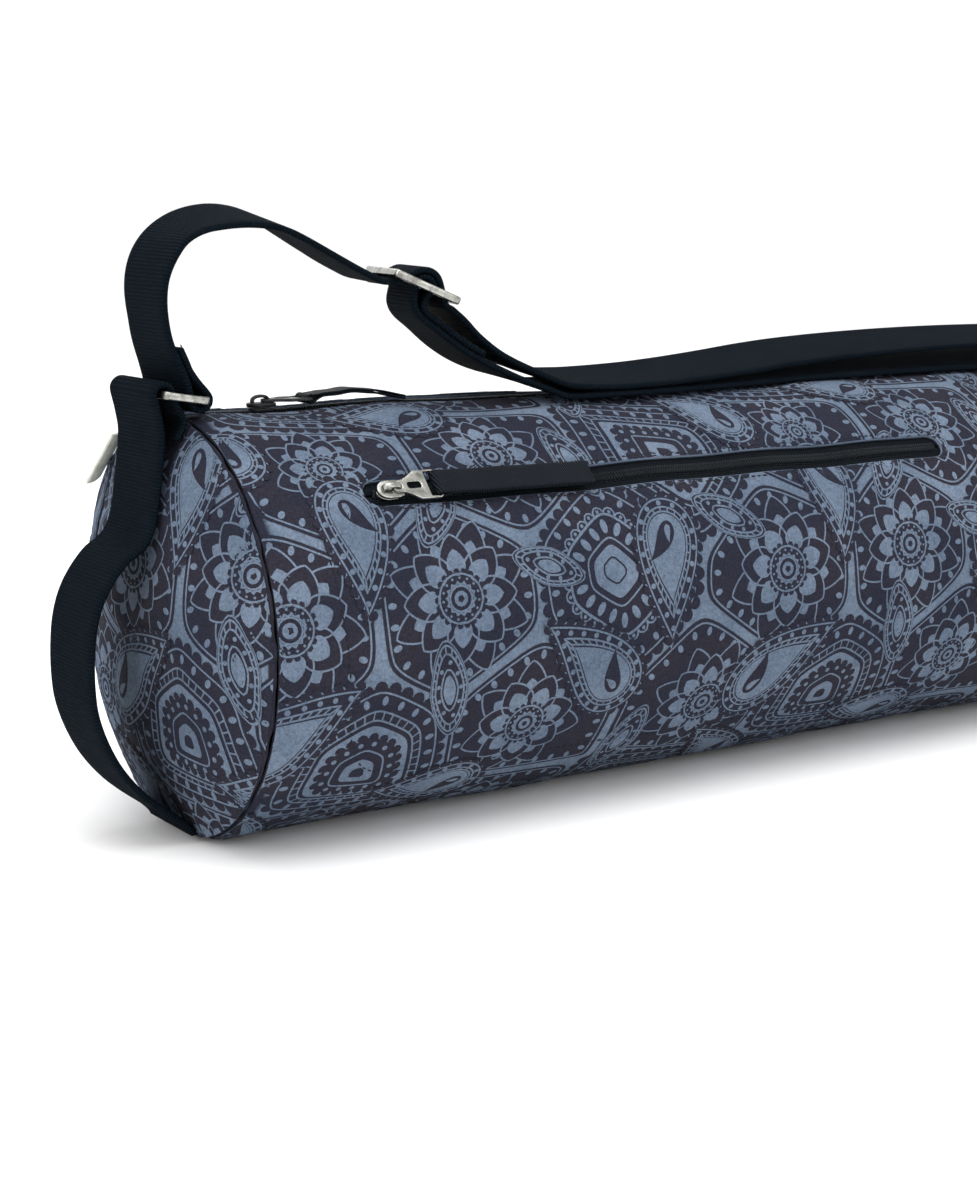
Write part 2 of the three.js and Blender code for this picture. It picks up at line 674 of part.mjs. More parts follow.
const endPanel = endPanelGeometry();
const handle = handleGeometry();
const ring = barFrameGeometry(ringPitch, 1);
for (const [side, facing] of [["left", 1], ["right", -1]]) {
  const end = new THREE.Group();
  end.position.x = facing * leftRim;
  end.scale.x = facing;
  bag.add(end);
  addPiece("end_panel_" + side, endPanel, materials.printedCanvas, end);
  addPiece("end_handle_" + side, handle, materials.webbing, end);
  const ringMesh = addPiece("end_ring_" + side, ring, materials.nickel, end);
  ringMesh.position.addVectors(innerBar, outerBar).multiplyScalar(0.5);
  ringMesh.rotation.y = radians(ringTilt);
  if (side === "left") addPiece("label", labelGeometry(), materials.labelCloth, end);
}

// Buckle, a frame with a middle bar. The running strap passes under its outer bars and over its middle
// bar, which also holds the strap's fixed end.
const layer = webbingThickness + clearance;
const weaveLow = wrapRadius;
const weaveHigh = wrapRadius + layer;
const buckleBarPitch = (weaveLow + weaveHigh) / Math.sin(radians(weaveSlope));
const leftInner = new THREE.Vector3(leftRim + innerBar.x, 0, innerBar.z);
const rightInner = new THREE.Vector3(-leftInner.x, 0, innerBar.z);
const buckle = new THREE.Vector3(leftInner.x + buckleReach, 0, leftInner.z + buckleRise);
const buckleTurn = new THREE.Matrix4()
  .makeRotationZ(radians(buckleYaw))
  .multiply(new THREE.Matrix4().makeRotationY(radians(buckleDip)));
const buckleFrame = buckleTurn.clone().setPosition(buckle);
const buckleMesh = addPiece("strap_buckle", barFrameGeometry(buckleBarPitch, 2), materials.nickel);
buckleMesh.applyMatrix4(buckleFrame);
const inBuckle = (station) => ({
  far: station.far.clone().applyMatrix4(buckleFrame),
  near: station.near.clone().applyMatrix4(buckleFrame),
});

// The strap's loop over the left end, from the ring to the buckle: places as shares of the buckle's reach
// and of the loop's rise, skew and drop as shares of the webbing's width.
const loopPath = [
  { along: -0.053, rise: 0.11, skew: 0, drop: 0 },
  { along: -0.075, rise: 0.207, skew: -0.03, drop: 0 },
  { along: -0.1, rise: 0.313, skew: -0.06, drop: 0 },
  { along: -0.116, rise: 0.449, skew: -0.07, drop: 0 },
  { along: -0.122, rise: 0.57, skew: -0.05, drop: 0 },
  { along: -0.114, rise: 0.675, skew: -0.03, drop: 0.01 },
  { along: -0.087, rise: 0.781, skew: 0, drop: 0.02 },
  { along: -0.039, rise: 0.879, skew: 0.02, drop: 0.03 },
  { along: 0.03, rise: 0.945, skew: 0.04, drop: 0.08 },
  { along: 0.104, rise: 0.98, skew: 0.04, drop: 0.14 },
  { along: 0.208, rise: 1.0, skew: 0, drop: 0.18 },
  { along: 0.331, rise: 0.98, skew: 0, drop: 0.175 },
  { along: 0.425, rise: 0.922, skew: 0, drop: 0.165 },
  { along: 0.527, rise: 0.838, skew: 0, drop: 0.145 },
  { along: 0.612, rise: 0.767, skew: -0.02, drop: 0.12 },
  { along: 0.699, rise: 0.697, skew: -0.05, drop: 0.09 },
  { along: 0.787, rise: 0.637, skew: -0.12, drop: 0.05 },
];

// From the buckle down to the bag: places as shares of the descent's reach and of the buckle's height
// over the bag.
const lowerDescent = [
  { along: -0.085, rise: 0.84, skew: -0.27, drop: 0, shift: 0 },
  { along: -0.055, rise: 0.735, skew: -0.26, drop: 0, shift: 0.02 },
  { along: 0.063, rise: 0.599, skew: -0.23, drop: 0, shift: 0.06 },
  { along: 0.195, rise: 0.45, skew: -0.19, drop: 0, shift: 0.1 },
  { along: 0.339, rise: 0.322, skew: -0.14, drop: 0.01, shift: 0.14 },
  { along: 0.474, rise: 0.232, skew: -0.1, drop: 0.02, shift: 0.17 },
  { along: 0.611, rise: 0.155, skew: -0.07, drop: 0.05, shift: 0.2 },
  { along: 0.749, rise: 0.095, skew: -0.05, drop: 0.08, shift: 0.22 },
  { along: 0.889, rise: 0.035, skew: -0.03, drop: 0.11, shift: 0.23 },
];
const upperDescent = [
  { along: 0.3, rise: 0.677, skew: -0.25, drop: 0, shift: 0.02 },
  { along: 0.37, rise: 0.56, skew: -0.23, drop: 0, shift: 0.05 },
  { along: 0.444, rise: 0.457, skew: -0.2, drop: 0, shift: 0.08 },
  { along: 0.518, rise: 0.373, skew: -0.16, drop: 0.01, shift: 0.11 },
  { along: 0.6, rise: 0.305, skew: -0.11, drop: 0.03, shift: 0.14 },
  { along: 0.702, rise: 0.245, skew: -0.08, drop: 0.06, shift: 0.18 },
  { along: 0.854, rise: 0.165, skew: -0.04, drop: 0.1, shift: 0.22 },
];

// Along the top of the bag, from the landing to the right ring: the strap leans towards the front, and
// its upper layer bows over the lower one.
const layPath = [
  { along: 0, drop: 0.12, shift: 0.24, bow: 0.22 },
  { along: 0.03, drop: 0.13, shift: 0.24, bow: 0.06 },
  { along: 0.06, drop: 0.14, shift: 0.23, bow: 0.03 },
  { along: 0.11, drop: 0.15, shift: 0.2, bow: 0.08 },
  { along: 0.17, drop: 0.165, shift: 0.14, bow: 0.24 },
  { along: 0.26, drop: 0.18, shift: 0.04, bow: 0.58 },
  { along: 0.36, drop: 0.18, shift: 0, bow: 0.82 },
  { along: 0.48, drop: 0.17, shift: 0, bow: 0.95 },
  { along: 0.62, drop: 0.14, shift: 0, bow: 0.88 },
  { along: 0.76, drop: 0.1, shift: 0, bow: 0.6 },
  { along: 0.88, drop: 0.05, shift: 0, bow: 0.28 },
  { along: 0.95, drop: 0.02, shift: 0, bow: 0.12 },
];
const landing = buckle.x + descentReach;

// Height of the middle of webbing that rests on the top of the bag, leaning by a drop and moved towards
// the front by a shift.
function restingHeight(drop, shift) {
  const lean = Math.atan(drop);
  const overBag = bagRadius + 2 * clearance + webbingThickness / 2 - shift * webbingWidth * Math.sin(lean);
  return bagRadius + overBag / Math.cos(lean);
}

function descentStations(rows) {
  const foot = restingHeight(0, 0);
  return rows.map(({ along, rise, skew, drop, shift }) =>
    across(buckle.x + along * descentReach, foot + rise * (buckle.z - foot), skew, drop, shift),
  );
}

function layStations(upper) {
  return layPath.map(({ along, drop, shift, bow }) => {
    const lift = upper ? layer / Math.cos(Math.atan(drop)) + bow * strapArch : 0;
    const x = landing + along * (rightInner.x - landing);
    return across(x, restingHeight(drop, shift) + lift, 0, drop, shift);
  });
}

// The running strap's way through the buckle, in the buckle's frame: arcs under the outer bars and over
// the middle bar.
function weaveStations() {
  const lean = 90 - weaveSlope;
  return [
    ...wrapStations(-buckleBarPitch, 0, weaveLow, -100, -lean),
    ...wrapStations(0, 0, weaveHigh, 180 - lean, lean),
    ...wrapStations(buckleBarPitch, 0, weaveLow, 180 + lean, 280),
  ].map(inBuckle);
}

const loop = loopPath.map(({ along, rise, skew, drop }) =>
  across(leftInner.x + along * buckleReach, leftInner.z + rise * loopRise, skew, drop),
);
const ringWrap = wrapStations(leftInner.x, leftInner.z, wrapRadius, 20, -180);
const loopRun = smoothRun([ringWrap.at(-1), ...loop], looseSpacing);
const tailCount = Math.round(tailLength / looseSpacing);
const sewnTail = layerOn(loopRun.slice(1, tailCount + 3), layer).slice(1).toReversed();
const weave = weaveStations();
const upperLeg = descentStations(upperDescent);
const upperRun = smoothRun([weave.at(-1), ...upperLeg, ...layStations(true)], straightSpacing);
const farWrap = wrapStations(rightInner.x, rightInner.z, wrapRadius, 90, -70);
const tailRun = smoothRun([...sewnTail, ringWrap[0]], tightSpacing).slice(0, -1);
const onLoop = [...tailRun, ...ringWrap, ...loopRun.slice(1)];
const runningStrap = [...onLoop, ...weave, ...upperRun.slice(1), ...farWrap];
addPiece("shoulder_strap", strip(runningStrap, webbingThickness), materials.webbing);

const lowerLeg = descentStations(lowerDescent);
const fixedWrap = wrapStations(0, 0, wrapRadius, -40, 215).map(inBuckle);
const ringApproach = across(rightInner.x - clearance, rightInner.z - wrapRadius);
const lowerPath = [fixedWrap.at(-1), ...lowerLeg, ...layStations(false), ringApproach];
const lowerRun = smoothRun(lowerPath, straightSpacing);
const fixedTail = layerOn(smoothRun(lowerLeg.slice(1, 5), looseSpacing), -layer).toReversed();
const fixedTailRun = smoothRun([...fixedTail, fixedWrap[0]], looseSpacing).slice(0, -1);
const returnStrap = [...fixedTailRun, ...fixedWrap, ...lowerRun.slice(1)];
addPiece("strap_return", strip(returnStrap, webbingThickness), materials.webbing);

export default bag;
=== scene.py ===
"""Dresses the yoga mat bag: a printed canvas tube with zips, a pocket, webbing handles and a strap.

Metres. +X runs along the bag, -Y is its front, +Z is up, and the bag rests on Z = 0.
"""

from __future__ import annotations

import json
import logging
import math
from dataclasses import dataclass, field
from enum import Enum
from typing import Callable, Sequence

import bmesh
import bpy
import numpy as np
from mathutils import Matrix, Vector

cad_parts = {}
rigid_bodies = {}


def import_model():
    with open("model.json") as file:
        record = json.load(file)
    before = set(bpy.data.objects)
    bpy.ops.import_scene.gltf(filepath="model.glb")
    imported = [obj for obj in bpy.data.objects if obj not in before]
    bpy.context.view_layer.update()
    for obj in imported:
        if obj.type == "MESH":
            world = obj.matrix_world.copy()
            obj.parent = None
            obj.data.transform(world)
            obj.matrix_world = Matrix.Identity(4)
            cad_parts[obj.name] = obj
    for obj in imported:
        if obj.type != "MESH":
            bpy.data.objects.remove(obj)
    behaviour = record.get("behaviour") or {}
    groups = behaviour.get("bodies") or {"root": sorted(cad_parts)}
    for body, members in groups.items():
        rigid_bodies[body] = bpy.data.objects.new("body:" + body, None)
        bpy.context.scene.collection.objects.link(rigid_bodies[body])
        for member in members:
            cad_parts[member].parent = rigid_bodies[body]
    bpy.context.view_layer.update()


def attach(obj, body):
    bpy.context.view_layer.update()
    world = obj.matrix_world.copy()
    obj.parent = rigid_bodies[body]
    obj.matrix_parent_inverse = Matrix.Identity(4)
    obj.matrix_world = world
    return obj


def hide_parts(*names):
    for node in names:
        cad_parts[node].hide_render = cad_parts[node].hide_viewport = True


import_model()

log = logging.getLogger("mat_bag")

Point = np.ndarray
Station = tuple[Point, Point]
Socket = bpy.types.NodeSocket


class Slot(Enum):
    """The record's material slots."""

    CANVAS = "printed_canvas"
    WEBBING = "webbing"
    TAPE = "zip_tape"
    COIL = "zip_coil"
    RIBBON = "ribbon"
    NICKEL = "nickel"
    BLACK_METAL = "black_metal"
    LABEL = "label_cloth"


class Side(Enum):
    """The two ends of the bag."""

    LEFT = 1
    RIGHT = -1


# Finishes


class Shader:
    """A material's node tree, with short ways to add nodes and to join them."""

    def __init__(self, name: str) -> None:
        """Starts a material that holds a Principled shader alone."""
        self.material = bpy.data.materials.new(name)
        self.material.use_nodes = True
        self.tree = self.material.node_tree
        self.surface = self.tree.nodes["Principled BSDF"]
        self.normal: Socket | None = None

    def set(self, socket: Socket, value: object) -> None:
        """Joins a socket to another one, or gives it a constant.

        Args:
            socket: The input.
            value: Another socket, or a constant.
        """
        if isinstance(value, bpy.types.NodeSocket):
            self.tree.links.new(value, socket)
        else:
            socket.default_value = value

    def add(self, kind: str, inputs: dict, **settings: object) -> bpy.types.Node:
        """Adds a node.

        Args:
            kind: The node's type.
            inputs: Values or sockets for its inputs, by name or number.
            settings: Properties of the node.

        Returns:
            The node.
        """
        node = self.tree.nodes.new(kind)
        for key, value in settings.items():
            setattr(node, key, value)
        for key, value in inputs.items():
            self.set(node.inputs[key], value)
        return node

    def math(self, operation: str, a: object, b: object = 0.0, c: object = 0.0) -> Socket:
        """Returns the result of a Math node on two or three numbers."""
        return self.add("ShaderNodeMath", {0: a, 1: b, 2: c}, operation=operation).outputs[0]

    def spread(self, value: object, low: float, high: float, to: tuple = (0.0, 1.0)) -> Socket:
        """Returns a number mapped smoothly from low..high to another range."""
        inputs = {"Value": value, "From Min": low, "From Max": high, "To Min": to[0], "To Max": to[1]}
        return self.add("ShaderNodeMapRange", inputs, interpolation_type="SMOOTHSTEP").outputs[0]

    def mix(self, share: object, first: object, second: object) -> Socket:
        """Returns a colour between two others."""
        node = self.add("ShaderNodeMix", {0: share, 6: first, 7: second}, data_type="RGBA")
        return node.outputs[2]

    def noise(self, place: Socket, scale: float, detail: float = 2.0, rough: float = 0.55) -> Socket:
        """Returns a noise texture's value."""
        inputs = {"Vector": place, "Scale": scale, "Detail": detail, "Roughness": rough}
        return self.add("ShaderNodeTexNoise", inputs).outputs["Fac"]

    def flat(self) -> tuple[Socket, Socket]:
        """Returns the cloth's two flat coordinates in metres."""
        vector = self.add("ShaderNodeUVMap", {}, uv_map="cloth").outputs["UV"]
        return tuple(self.add("ShaderNodeSeparateXYZ", {"Vector": vector}).outputs)[:2]

    def place(self) -> Socket:
        """Returns the place on the object."""
        return self.add("ShaderNodeTexCoord", {}).outputs["Object"]

    def wave(self, along: Socket, pitch: float, shift: object = 0.0) -> Socket:
        """Returns a wave from 0 to 1 that repeats at a pitch."""
        turn = self.math("MULTIPLY_ADD", along, 2 * math.pi / pitch, shift)
        return self.math("MULTIPLY_ADD", self.math("SINE", turn), 0.5, 0.5)

    def bump(self, height: Socket, distance: float, strength: float = 1.0) -> None:
        """Adds relief on top of the relief that the material has so far.

        Args:
            height: The relief's height.
            distance: How far a height of 1 stands out.
            strength: How strongly it shows.
        """
        inputs = {"Height": height, "Distance": distance, "Strength": strength}
        if self.normal is not None:
            inputs["Normal"] = self.normal
        self.normal = self.add("ShaderNodeBump", inputs).outputs["Normal"]
        self.set(self.surface.inputs["Normal"], self.normal)


@dataclass(frozen=True)
class PrintedCanvas:
    """Brushed canvas in charcoal, printed in blue-grey where the ink attribute is 1."""

    ground: tuple = (0.0195, 0.0212, 0.0355, 1.0)
    ground_warm: tuple = (0.0255, 0.0240, 0.0350, 1.0)
    ink: tuple = (0.108, 0.145, 0.205, 1.0)
    ink_light: tuple = (0.158, 0.203, 0.275, 1.0)
    thread: float = 0.00072

    def material(self) -> bpy.types.Material:
        """Makes the canvas material.

        Returns:
            The material, with its nodes.
        """
        s = Shader("printed_canvas")
        along, up = s.flat()
        place = s.place()
        weave = s.math("MULTIPLY", s.wave(along, self.thread), s.wave(up, self.thread))
        pebble = s.noise(place, 1150.0, 2.0, 0.6)
        cloud = s.noise(place, 34.0, 3.0, 0.6)
        fleck = s.noise(place, 620.0, 2.0, 0.5)
        ground = s.mix(s.spread(cloud, 0.35, 0.68), self.ground, self.ground_warm)
        ink = s.mix(s.spread(cloud, 0.3, 0.72), self.ink, self.ink_light)
        mark = s.add("ShaderNodeAttribute", {}, attribute_name="ink").outputs["Fac"]
        cover = s.spread(fleck, 0.2, 0.62, (0.72, 1.0))
        printed = s.mix(s.math("MULTIPLY", mark, cover), ground, ink)
        lit = s.mix(s.spread(pebble, 0.3, 0.75, (0.0, 0.32)), printed, (0.0, 0.0, 0.0, 1.0))
        s.set(s.surface.inputs["Base Color"], lit)
        s.set(s.surface.inputs["Roughness"], s.spread(pebble, 0.2, 0.8, (0.78, 0.92)))
        s.surface.inputs["Sheen Weight"].default_value = 0.01
        s.surface.inputs["Sheen Roughness"].default_value = 0.5
        s.surface.inputs["Specular IOR Level"].default_value = 0.05
        s.bump(weave, 0.00012, 0.6)
        s.bump(pebble, 0.0003, 0.75)
        s.bump(s.noise(place, 130.0, 3.0), 0.0006, 0.5)
        return s.material


@dataclass(frozen=True)
class WebbingCloth:
    """Black cotton webbing with fine ribs across it and a fuzzy face."""

    colour: tuple = (0.0012, 0.0030, 0.0054, 1.0)
    # Lighter colour: a painted highlight on the rib crests, plus random lighter wear
    rib_highlight_and_wear: tuple = (0.0070, 0.0115, 0.0160, 1.0)
    rib: float = 0.00135
    warp: float = 0.0021

    def material(self) -> bpy.types.Material:
        """Makes the webbing material.

        Returns:
            The material, with its nodes.
        """
        s = Shader("webbing")
        along, up = s.flat()
        place = s.place()
        ribs = s.wave(along, self.rib, s.math("MULTIPLY", s.noise(place, 260.0), 2.2))
        columns = s.wave(up, self.warp)
        weave = s.math("MULTIPLY", ribs, s.math("MULTIPLY_ADD", columns, 0.4, 0.6))
        fuzz = s.noise(place, 1400.0, 3.0, 0.7)
        cloud = s.noise(place, 60.0, 3.0)
        # Rib crests take the lighter colour and the grooves between ribs the darker one: painted highlight and painted
        # shade on the weave, with random lighter patches from the cloud noise.
        tone = s.math("MULTIPLY", s.spread(weave, 0.1, 0.95, (0.25, 0.75)), s.spread(cloud, 0.2, 0.8, (0.6, 1.0)))
        s.set(s.surface.inputs["Base Color"], s.mix(tone, self.colour, self.rib_highlight_and_wear))
        s.set(s.surface.inputs["Roughness"], s.spread(fuzz, 0.2, 0.8, (0.82, 0.96)))
        s.surface.inputs["Specular IOR Level"].default_value = 0.02
        s.bump(weave, 0.00035, 0.9)
        s.bump(fuzz, 0.00025, 0.6)
        return s.material


@dataclass(frozen=True)
class TapeCloth:
    """The zips' black tape: a tight weave with lengthwise ribs."""

    colour: tuple = (0.0022, 0.0036, 0.0050, 1.0)
    lit: tuple = (0.0085, 0.0130, 0.0175, 1.0)
    rib: float = 0.00105

    def material(self) -> bpy.types.Material:
        """Makes the tape material.

        Returns:
            The material, with its nodes.
        """
        s = Shader("zip_tape")
        along, up = s.flat()
        fine = s.math("MULTIPLY", s.wave(along, self.rib * 0.8), s.wave(up, self.rib))
        fuzz = s.noise(s.place(), 1100.0, 3.0, 0.6)
        s.set(s.surface.inputs["Base Color"], s.mix(s.spread(fine, 0.1, 0.9), self.colour, self.lit))
        s.set(s.surface.inputs["Roughness"], s.spread(fuzz, 0.2, 0.8, (0.7, 0.9)))
        s.surface.inputs["Specular IOR Level"].default_value = 0.08
        s.bump(fine, 0.0002, 0.8)
        s.bump(fuzz, 0.00012, 0.6)
        return s.material


@dataclass(frozen=True)
class Grosgrain:
    """Black grosgrain ribbon: slanted ribs with a slight shine."""

    colour: tuple = (0.0008, 0.0012, 0.0026, 1.0)
    lit: tuple = (0.0120, 0.0165, 0.0235, 1.0)
    rib: float = 0.0011

    def material(self) -> bpy.types.Material:
        """Makes the ribbon material.

        Returns:
            The material, with its nodes.
        """
        s = Shader("ribbon")
        along, up = s.flat()
        slant = s.math("MULTIPLY", up, 2 * math.pi / self.rib * 0.35)
        ribs = s.wave(along, self.rib, slant)
        fine = s.wave(up, 0.0006)
        tone = s.math("MULTIPLY", ribs, s.math("MULTIPLY_ADD", fine, 0.3, 0.7))
        s.set(s.surface.inputs["Base Color"], s.mix(tone, self.colour, self.lit))
        s.surface.inputs["Roughness"].default_value = 0.5
        s.surface.inputs["Specular IOR Level"].default_value = 0.06
        s.bump(tone, 0.0003, 0.9)
        s.bump(s.noise(s.place(), 900.0), 0.0001, 0.5)
        return s.material


@dataclass(frozen=True)
class Metal:
    """Plated die-cast metal with faint casting marks and rubbed spots."""

    name: str
    colour: tuple
    dull: tuple
    roughness: float
    metallic: float = 1.0

    def material(self) -> bpy.types.Material:
        """Makes the metal material.

        Returns:
            The material, with its nodes.
        """
        s = Shader(self.name)
        place = s.place()
        rubbed = s.noise(place, 240.0, 4.0, 0.65)
        fine = s.noise(place, 1900.0, 2.0)
        s.set(s.surface.inputs["Base Color"], s.mix(s.spread(rubbed, 0.42, 0.7), self.colour, self.dull))
        low, high = self.roughness - 0.06, self.roughness + 0.14
        s.set(s.surface.inputs["Roughness"], s.spread(rubbed, 0.3, 0.75, (low, high)))
        s.surface.inputs["Metallic"].default_value = self.metallic
        s.bump(fine, 0.00004, 0.5)
        s.bump(rubbed, 0.00012, 0.35)
        return s.material


@dataclass(frozen=True)
class MouldedNylon:
    """Black nylon of the zips' coils and stitches."""

    name: str
    colour: tuple = (0.0030, 0.0050, 0.0068, 1.0)
    lit: tuple = (0.0085, 0.0120, 0.0160, 1.0)
    roughness: float = 0.42

    def material(self) -> bpy.types.Material:
        """Makes the nylon material.

        Returns:
            The material, with its nodes.
        """
        s = Shader(self.name)
        place = s.place()
        tint = s.noise(place, 420.0, 2.0)
        s.set(s.surface.inputs["Base Color"], s.mix(s.spread(tint, 0.3, 0.7), self.colour, self.lit))
        low, high = self.roughness - 0.05, self.roughness + 0.15
        s.set(s.surface.inputs["Roughness"], s.spread(tint, 0.3, 0.7, (low, high)))
        s.surface.inputs["Specular IOR Level"].default_value = 0.2
        s.bump(s.noise(place, 2600.0, 1.0), 0.00004, 0.5)
        return s.material


@dataclass(frozen=True)
class LabelCloth:
    """Cream woven label tape."""

    colour: tuple = (0.560, 0.570, 0.500, 1.0)
    shade: tuple = (0.390, 0.390, 0.320, 1.0)
    thread: float = 0.0006

    def material(self) -> bpy.types.Material:
        """Makes the label material.

        Returns:
            The material, with its nodes.
        """
        s = Shader("label_cloth")
        along, up = s.flat()
        weave = s.math("MULTIPLY", s.wave(along, self.thread), s.wave(up, self.thread * 1.4))
        stain = s.noise(s.place(), 170.0, 3.0)
        tone = s.math("MULTIPLY", s.spread(stain, 0.4, 0.8), 0.8)
        s.set(s.surface.inputs["Base Color"], s.mix(tone, self.colour, self.shade))
        s.surface.inputs["Roughness"].default_value = 0.85
        s.surface.inputs["Sheen Weight"].default_value = 0.1
        s.bump(weave, 0.00015, 0.8)
        s.bump(stain, 0.0004, 0.4)
        return s.material


@dataclass
class Finishes:
    """Every finish of the bag, each made once."""

    canvas: bpy.types.Material = field(default_factory=lambda: PrintedCanvas().material())
    webbing: bpy.types.Material = field(default_factory=lambda: WebbingCloth().material())
    tape: bpy.types.Material = field(default_factory=lambda: TapeCloth().material())
    ribbon: bpy.types.Material = field(default_factory=lambda: Grosgrain().material())
    label: bpy.types.Material = field(default_factory=lambda: LabelCloth().material())
    coil: bpy.types.Material = field(default_factory=lambda: MouldedNylon("zip_coil").material())
    thread: bpy.types.Material = field(
        default_factory=lambda: MouldedNylon("stitch_thread", (0.006, 0.007, 0.009, 1.0), roughness=0.7).material()
    )
    nickel: bpy.types.Material = field(
        default_factory=lambda: Metal("nickel", (0.40, 0.40, 0.37, 1.0), (0.17, 0.17, 0.155, 1.0), 0.2).material()
    )
    black_metal: bpy.types.Material = field(
        default_factory=lambda: Metal(
            "black_metal", (0.012, 0.013, 0.014, 1.0), (0.035, 0.036, 0.038, 1.0), 0.4, 0.6
        ).material()
    )


# Mesh helpers


def unit(vectors: Point) -> Point:
    """Returns vectors scaled to length 1."""
    return vectors / np.maximum(np.linalg.norm(vectors, axis=-1, keepdims=True), 1e-12)


def solid(name: str, corners: Point, faces: Sequence, flat: Point | None = None) -> bpy.types.Object:
    """Makes a mesh object at the origin.

    Args:
        name: The piece's name.
        corners: Its vertices, one row each.
        faces: Its faces, as rows of vertex numbers.
        flat: Flat coordinates of each vertex, for the UV map named cloth.

    Returns:
        The object, linked to the scene and shaded smooth.
    """
    mesh = bpy.data.meshes.new(name)
    mesh.from_pydata([tuple(c) for c in np.asarray(corners, float)], [], [tuple(f) for f in faces])
    mesh.update()
    if flat is not None:
        layer = mesh.uv_layers.new(name="cloth")
        picked = np.zeros(len(mesh.loops), int)
        mesh.loops.foreach_get("vertex_index", picked)
        layer.data.foreach_set("uv", np.asarray(flat, np.float32)[picked].ravel())
    mesh.polygons.foreach_set("use_smooth", [True] * len(mesh.polygons))
    piece = bpy.data.objects.new(name, mesh)
    bpy.context.scene.collection.objects.link(piece)
    return piece


def grid_faces(rows: int, columns: int, closed: bool = False, first: int = 0) -> list[tuple]:
    """Returns the quads of a grid of points, its columns joined into a ring if closed.

    Args:
        rows: How many rows there are.
        columns: How many points a row has.
        closed: Whether each row is a ring.
        first: The number of the first point.

    Returns:
        The faces, as rows of point numbers.
    """
    faces = []
    for i in range(rows - 1):
        for j in range(columns if closed else columns - 1):
            k = (j + 1) % columns
            a, b = first + i * columns, first + (i + 1) * columns
            faces.append((a + j, b + j, b + k, a + k))
    return faces


def dress(piece: bpy.types.Object, finish: bpy.types.Material, slot: Slot, *nodes: str) -> bpy.types.Object:
    """Gives a finished piece its material, its body and the solids that it stands for.

    Args:
        piece: The object.
        finish: Its material.
        slot: The record's slot; not used.
        nodes: Names of the solids that the piece replaces.

    Returns:
        The object.
    """
    if not piece.data.materials:
        piece.data.materials.append(finish)
    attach(piece, "root")
    if nodes:
        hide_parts(*nodes)
    log.info("%s: %d faces", piece.name, len(piece.data.polygons))
    return piece


def joined(name: str, pieces: Sequence[bpy.types.Object]) -> bpy.types.Object:
    """Joins objects into one and returns it under a name.

    Args:
        name: Its name.
        pieces: The objects.

    Returns:
        The joined object.
    """
    with bpy.context.temp_override(active_object=pieces[0], selected_editable_objects=list(pieces)):
        bpy.ops.object.join()
    pieces[0].name = name
    pieces[0].data.name = name
    return pieces[0]


def finished_mesh(name: str, source: bpy.types.Object) -> bpy.types.Object:
    """Turns an object with modifiers, or a curve, into a plain mesh object at the origin.

    Args:
        name: The new object's name.
        source: The object to evaluate. It is removed.

    Returns:
        The new object.
    """
    graph = bpy.context.evaluated_depsgraph_get()
    mesh = bpy.data.meshes.new_from_object(source.evaluated_get(graph))
    mesh.transform(source.matrix_world)
    mesh.name = name
    bpy.data.objects.remove(source)
    piece = bpy.data.objects.new(name, mesh)
    bpy.context.scene.collection.objects.link(piece)
    mesh.polygons.foreach_set("use_smooth", [True] * len(mesh.polygons))
    return piece


def sweep(name: str, path: Point, across: Point, section: Point) -> bpy.types.Object:
    """Sweeps a closed section along a path.

    Args:
        name: The piece's name.
        path: The path's points.
        across: The section's first axis at each point.
        section: The section's outline, as places along the first axis and along the path's normal.

    Returns:
        The object, with flat coordinates: length along the path, then length round the section.
    """
    count, sides = len(path), len(section)
    run = unit(np.gradient(path, axis=0))
    first = unit(across)
    second = unit(np.cross(run, first))
    corners = path[:, None] + first[:, None] * section[None, :, :1] + second[:, None] * section[None, :, 1:2]
    faces = [(a, d, c, b) for a, b, c, d in grid_faces(count, sides, True)]
    length = np.concatenate([[0], np.cumsum(np.linalg.norm(np.diff(path, axis=0), axis=1))])
    flat = np.stack([np.repeat(length, sides), np.tile(section[:, 0] + 0.5 * section[:, 1], count)], axis=1)
    corners = np.concatenate([corners.reshape(-1, 3), path[:1], path[-1:]])
    flat = np.concatenate([flat, [[0, 0], [length[-1], 0]]])
    start, end, last = count * sides, count * sides + 1, (count - 1) * sides
    for j in range(sides):
        k = (j + 1) % sides
        faces += [(start, k, j), (end, last + j, last + k)]
    piece = solid(name, corners, faces, flat)
    face_out(piece)
    return piece


def face_out(piece: bpy.types.Object) -> None:
    """Turns a closed piece's faces to point out.

    Args:
        piece: The piece.
    """
    shape = bmesh.new()
    shape.from_mesh(piece.data)
    bmesh.ops.recalc_face_normals(shape, faces=shape.faces)
    if shape.calc_volume(signed=True) < 0:
        bmesh.ops.reverse_faces(shape, faces=shape.faces)
    shape.to_mesh(piece.data)
    shape.free()


def rounded_section(width: float, thickness: float, sides: int = 5, flats: int = 6) -> Point:
    """Returns the outline of a flat bar with round edges, in order round it.

    Args:
        width: The bar's width.
        thickness: Its thickness.
        sides: Steps round each edge.
        flats: Steps along each face.

    Returns:
        The outline.
    """
    radius = thickness / 2
    half = width / 2 - radius
    points = []
    for k in range(flats + 1):
        points.append((-half + 2 * half * k / flats, -radius))
    for k in range(1, sides):
        turn = -math.pi / 2 + math.pi * k / sides
        points.append((half + radius * math.cos(turn), radius * math.sin(turn)))
    for k in range(flats + 1):
        points.append((half - 2 * half * k / flats, radius))
    for k in range(1, sides):
        turn = math.pi / 2 + math.pi * k / sides
        points.append((-half + radius * math.cos(turn), radius * math.sin(turn)))
    return np.array(points)


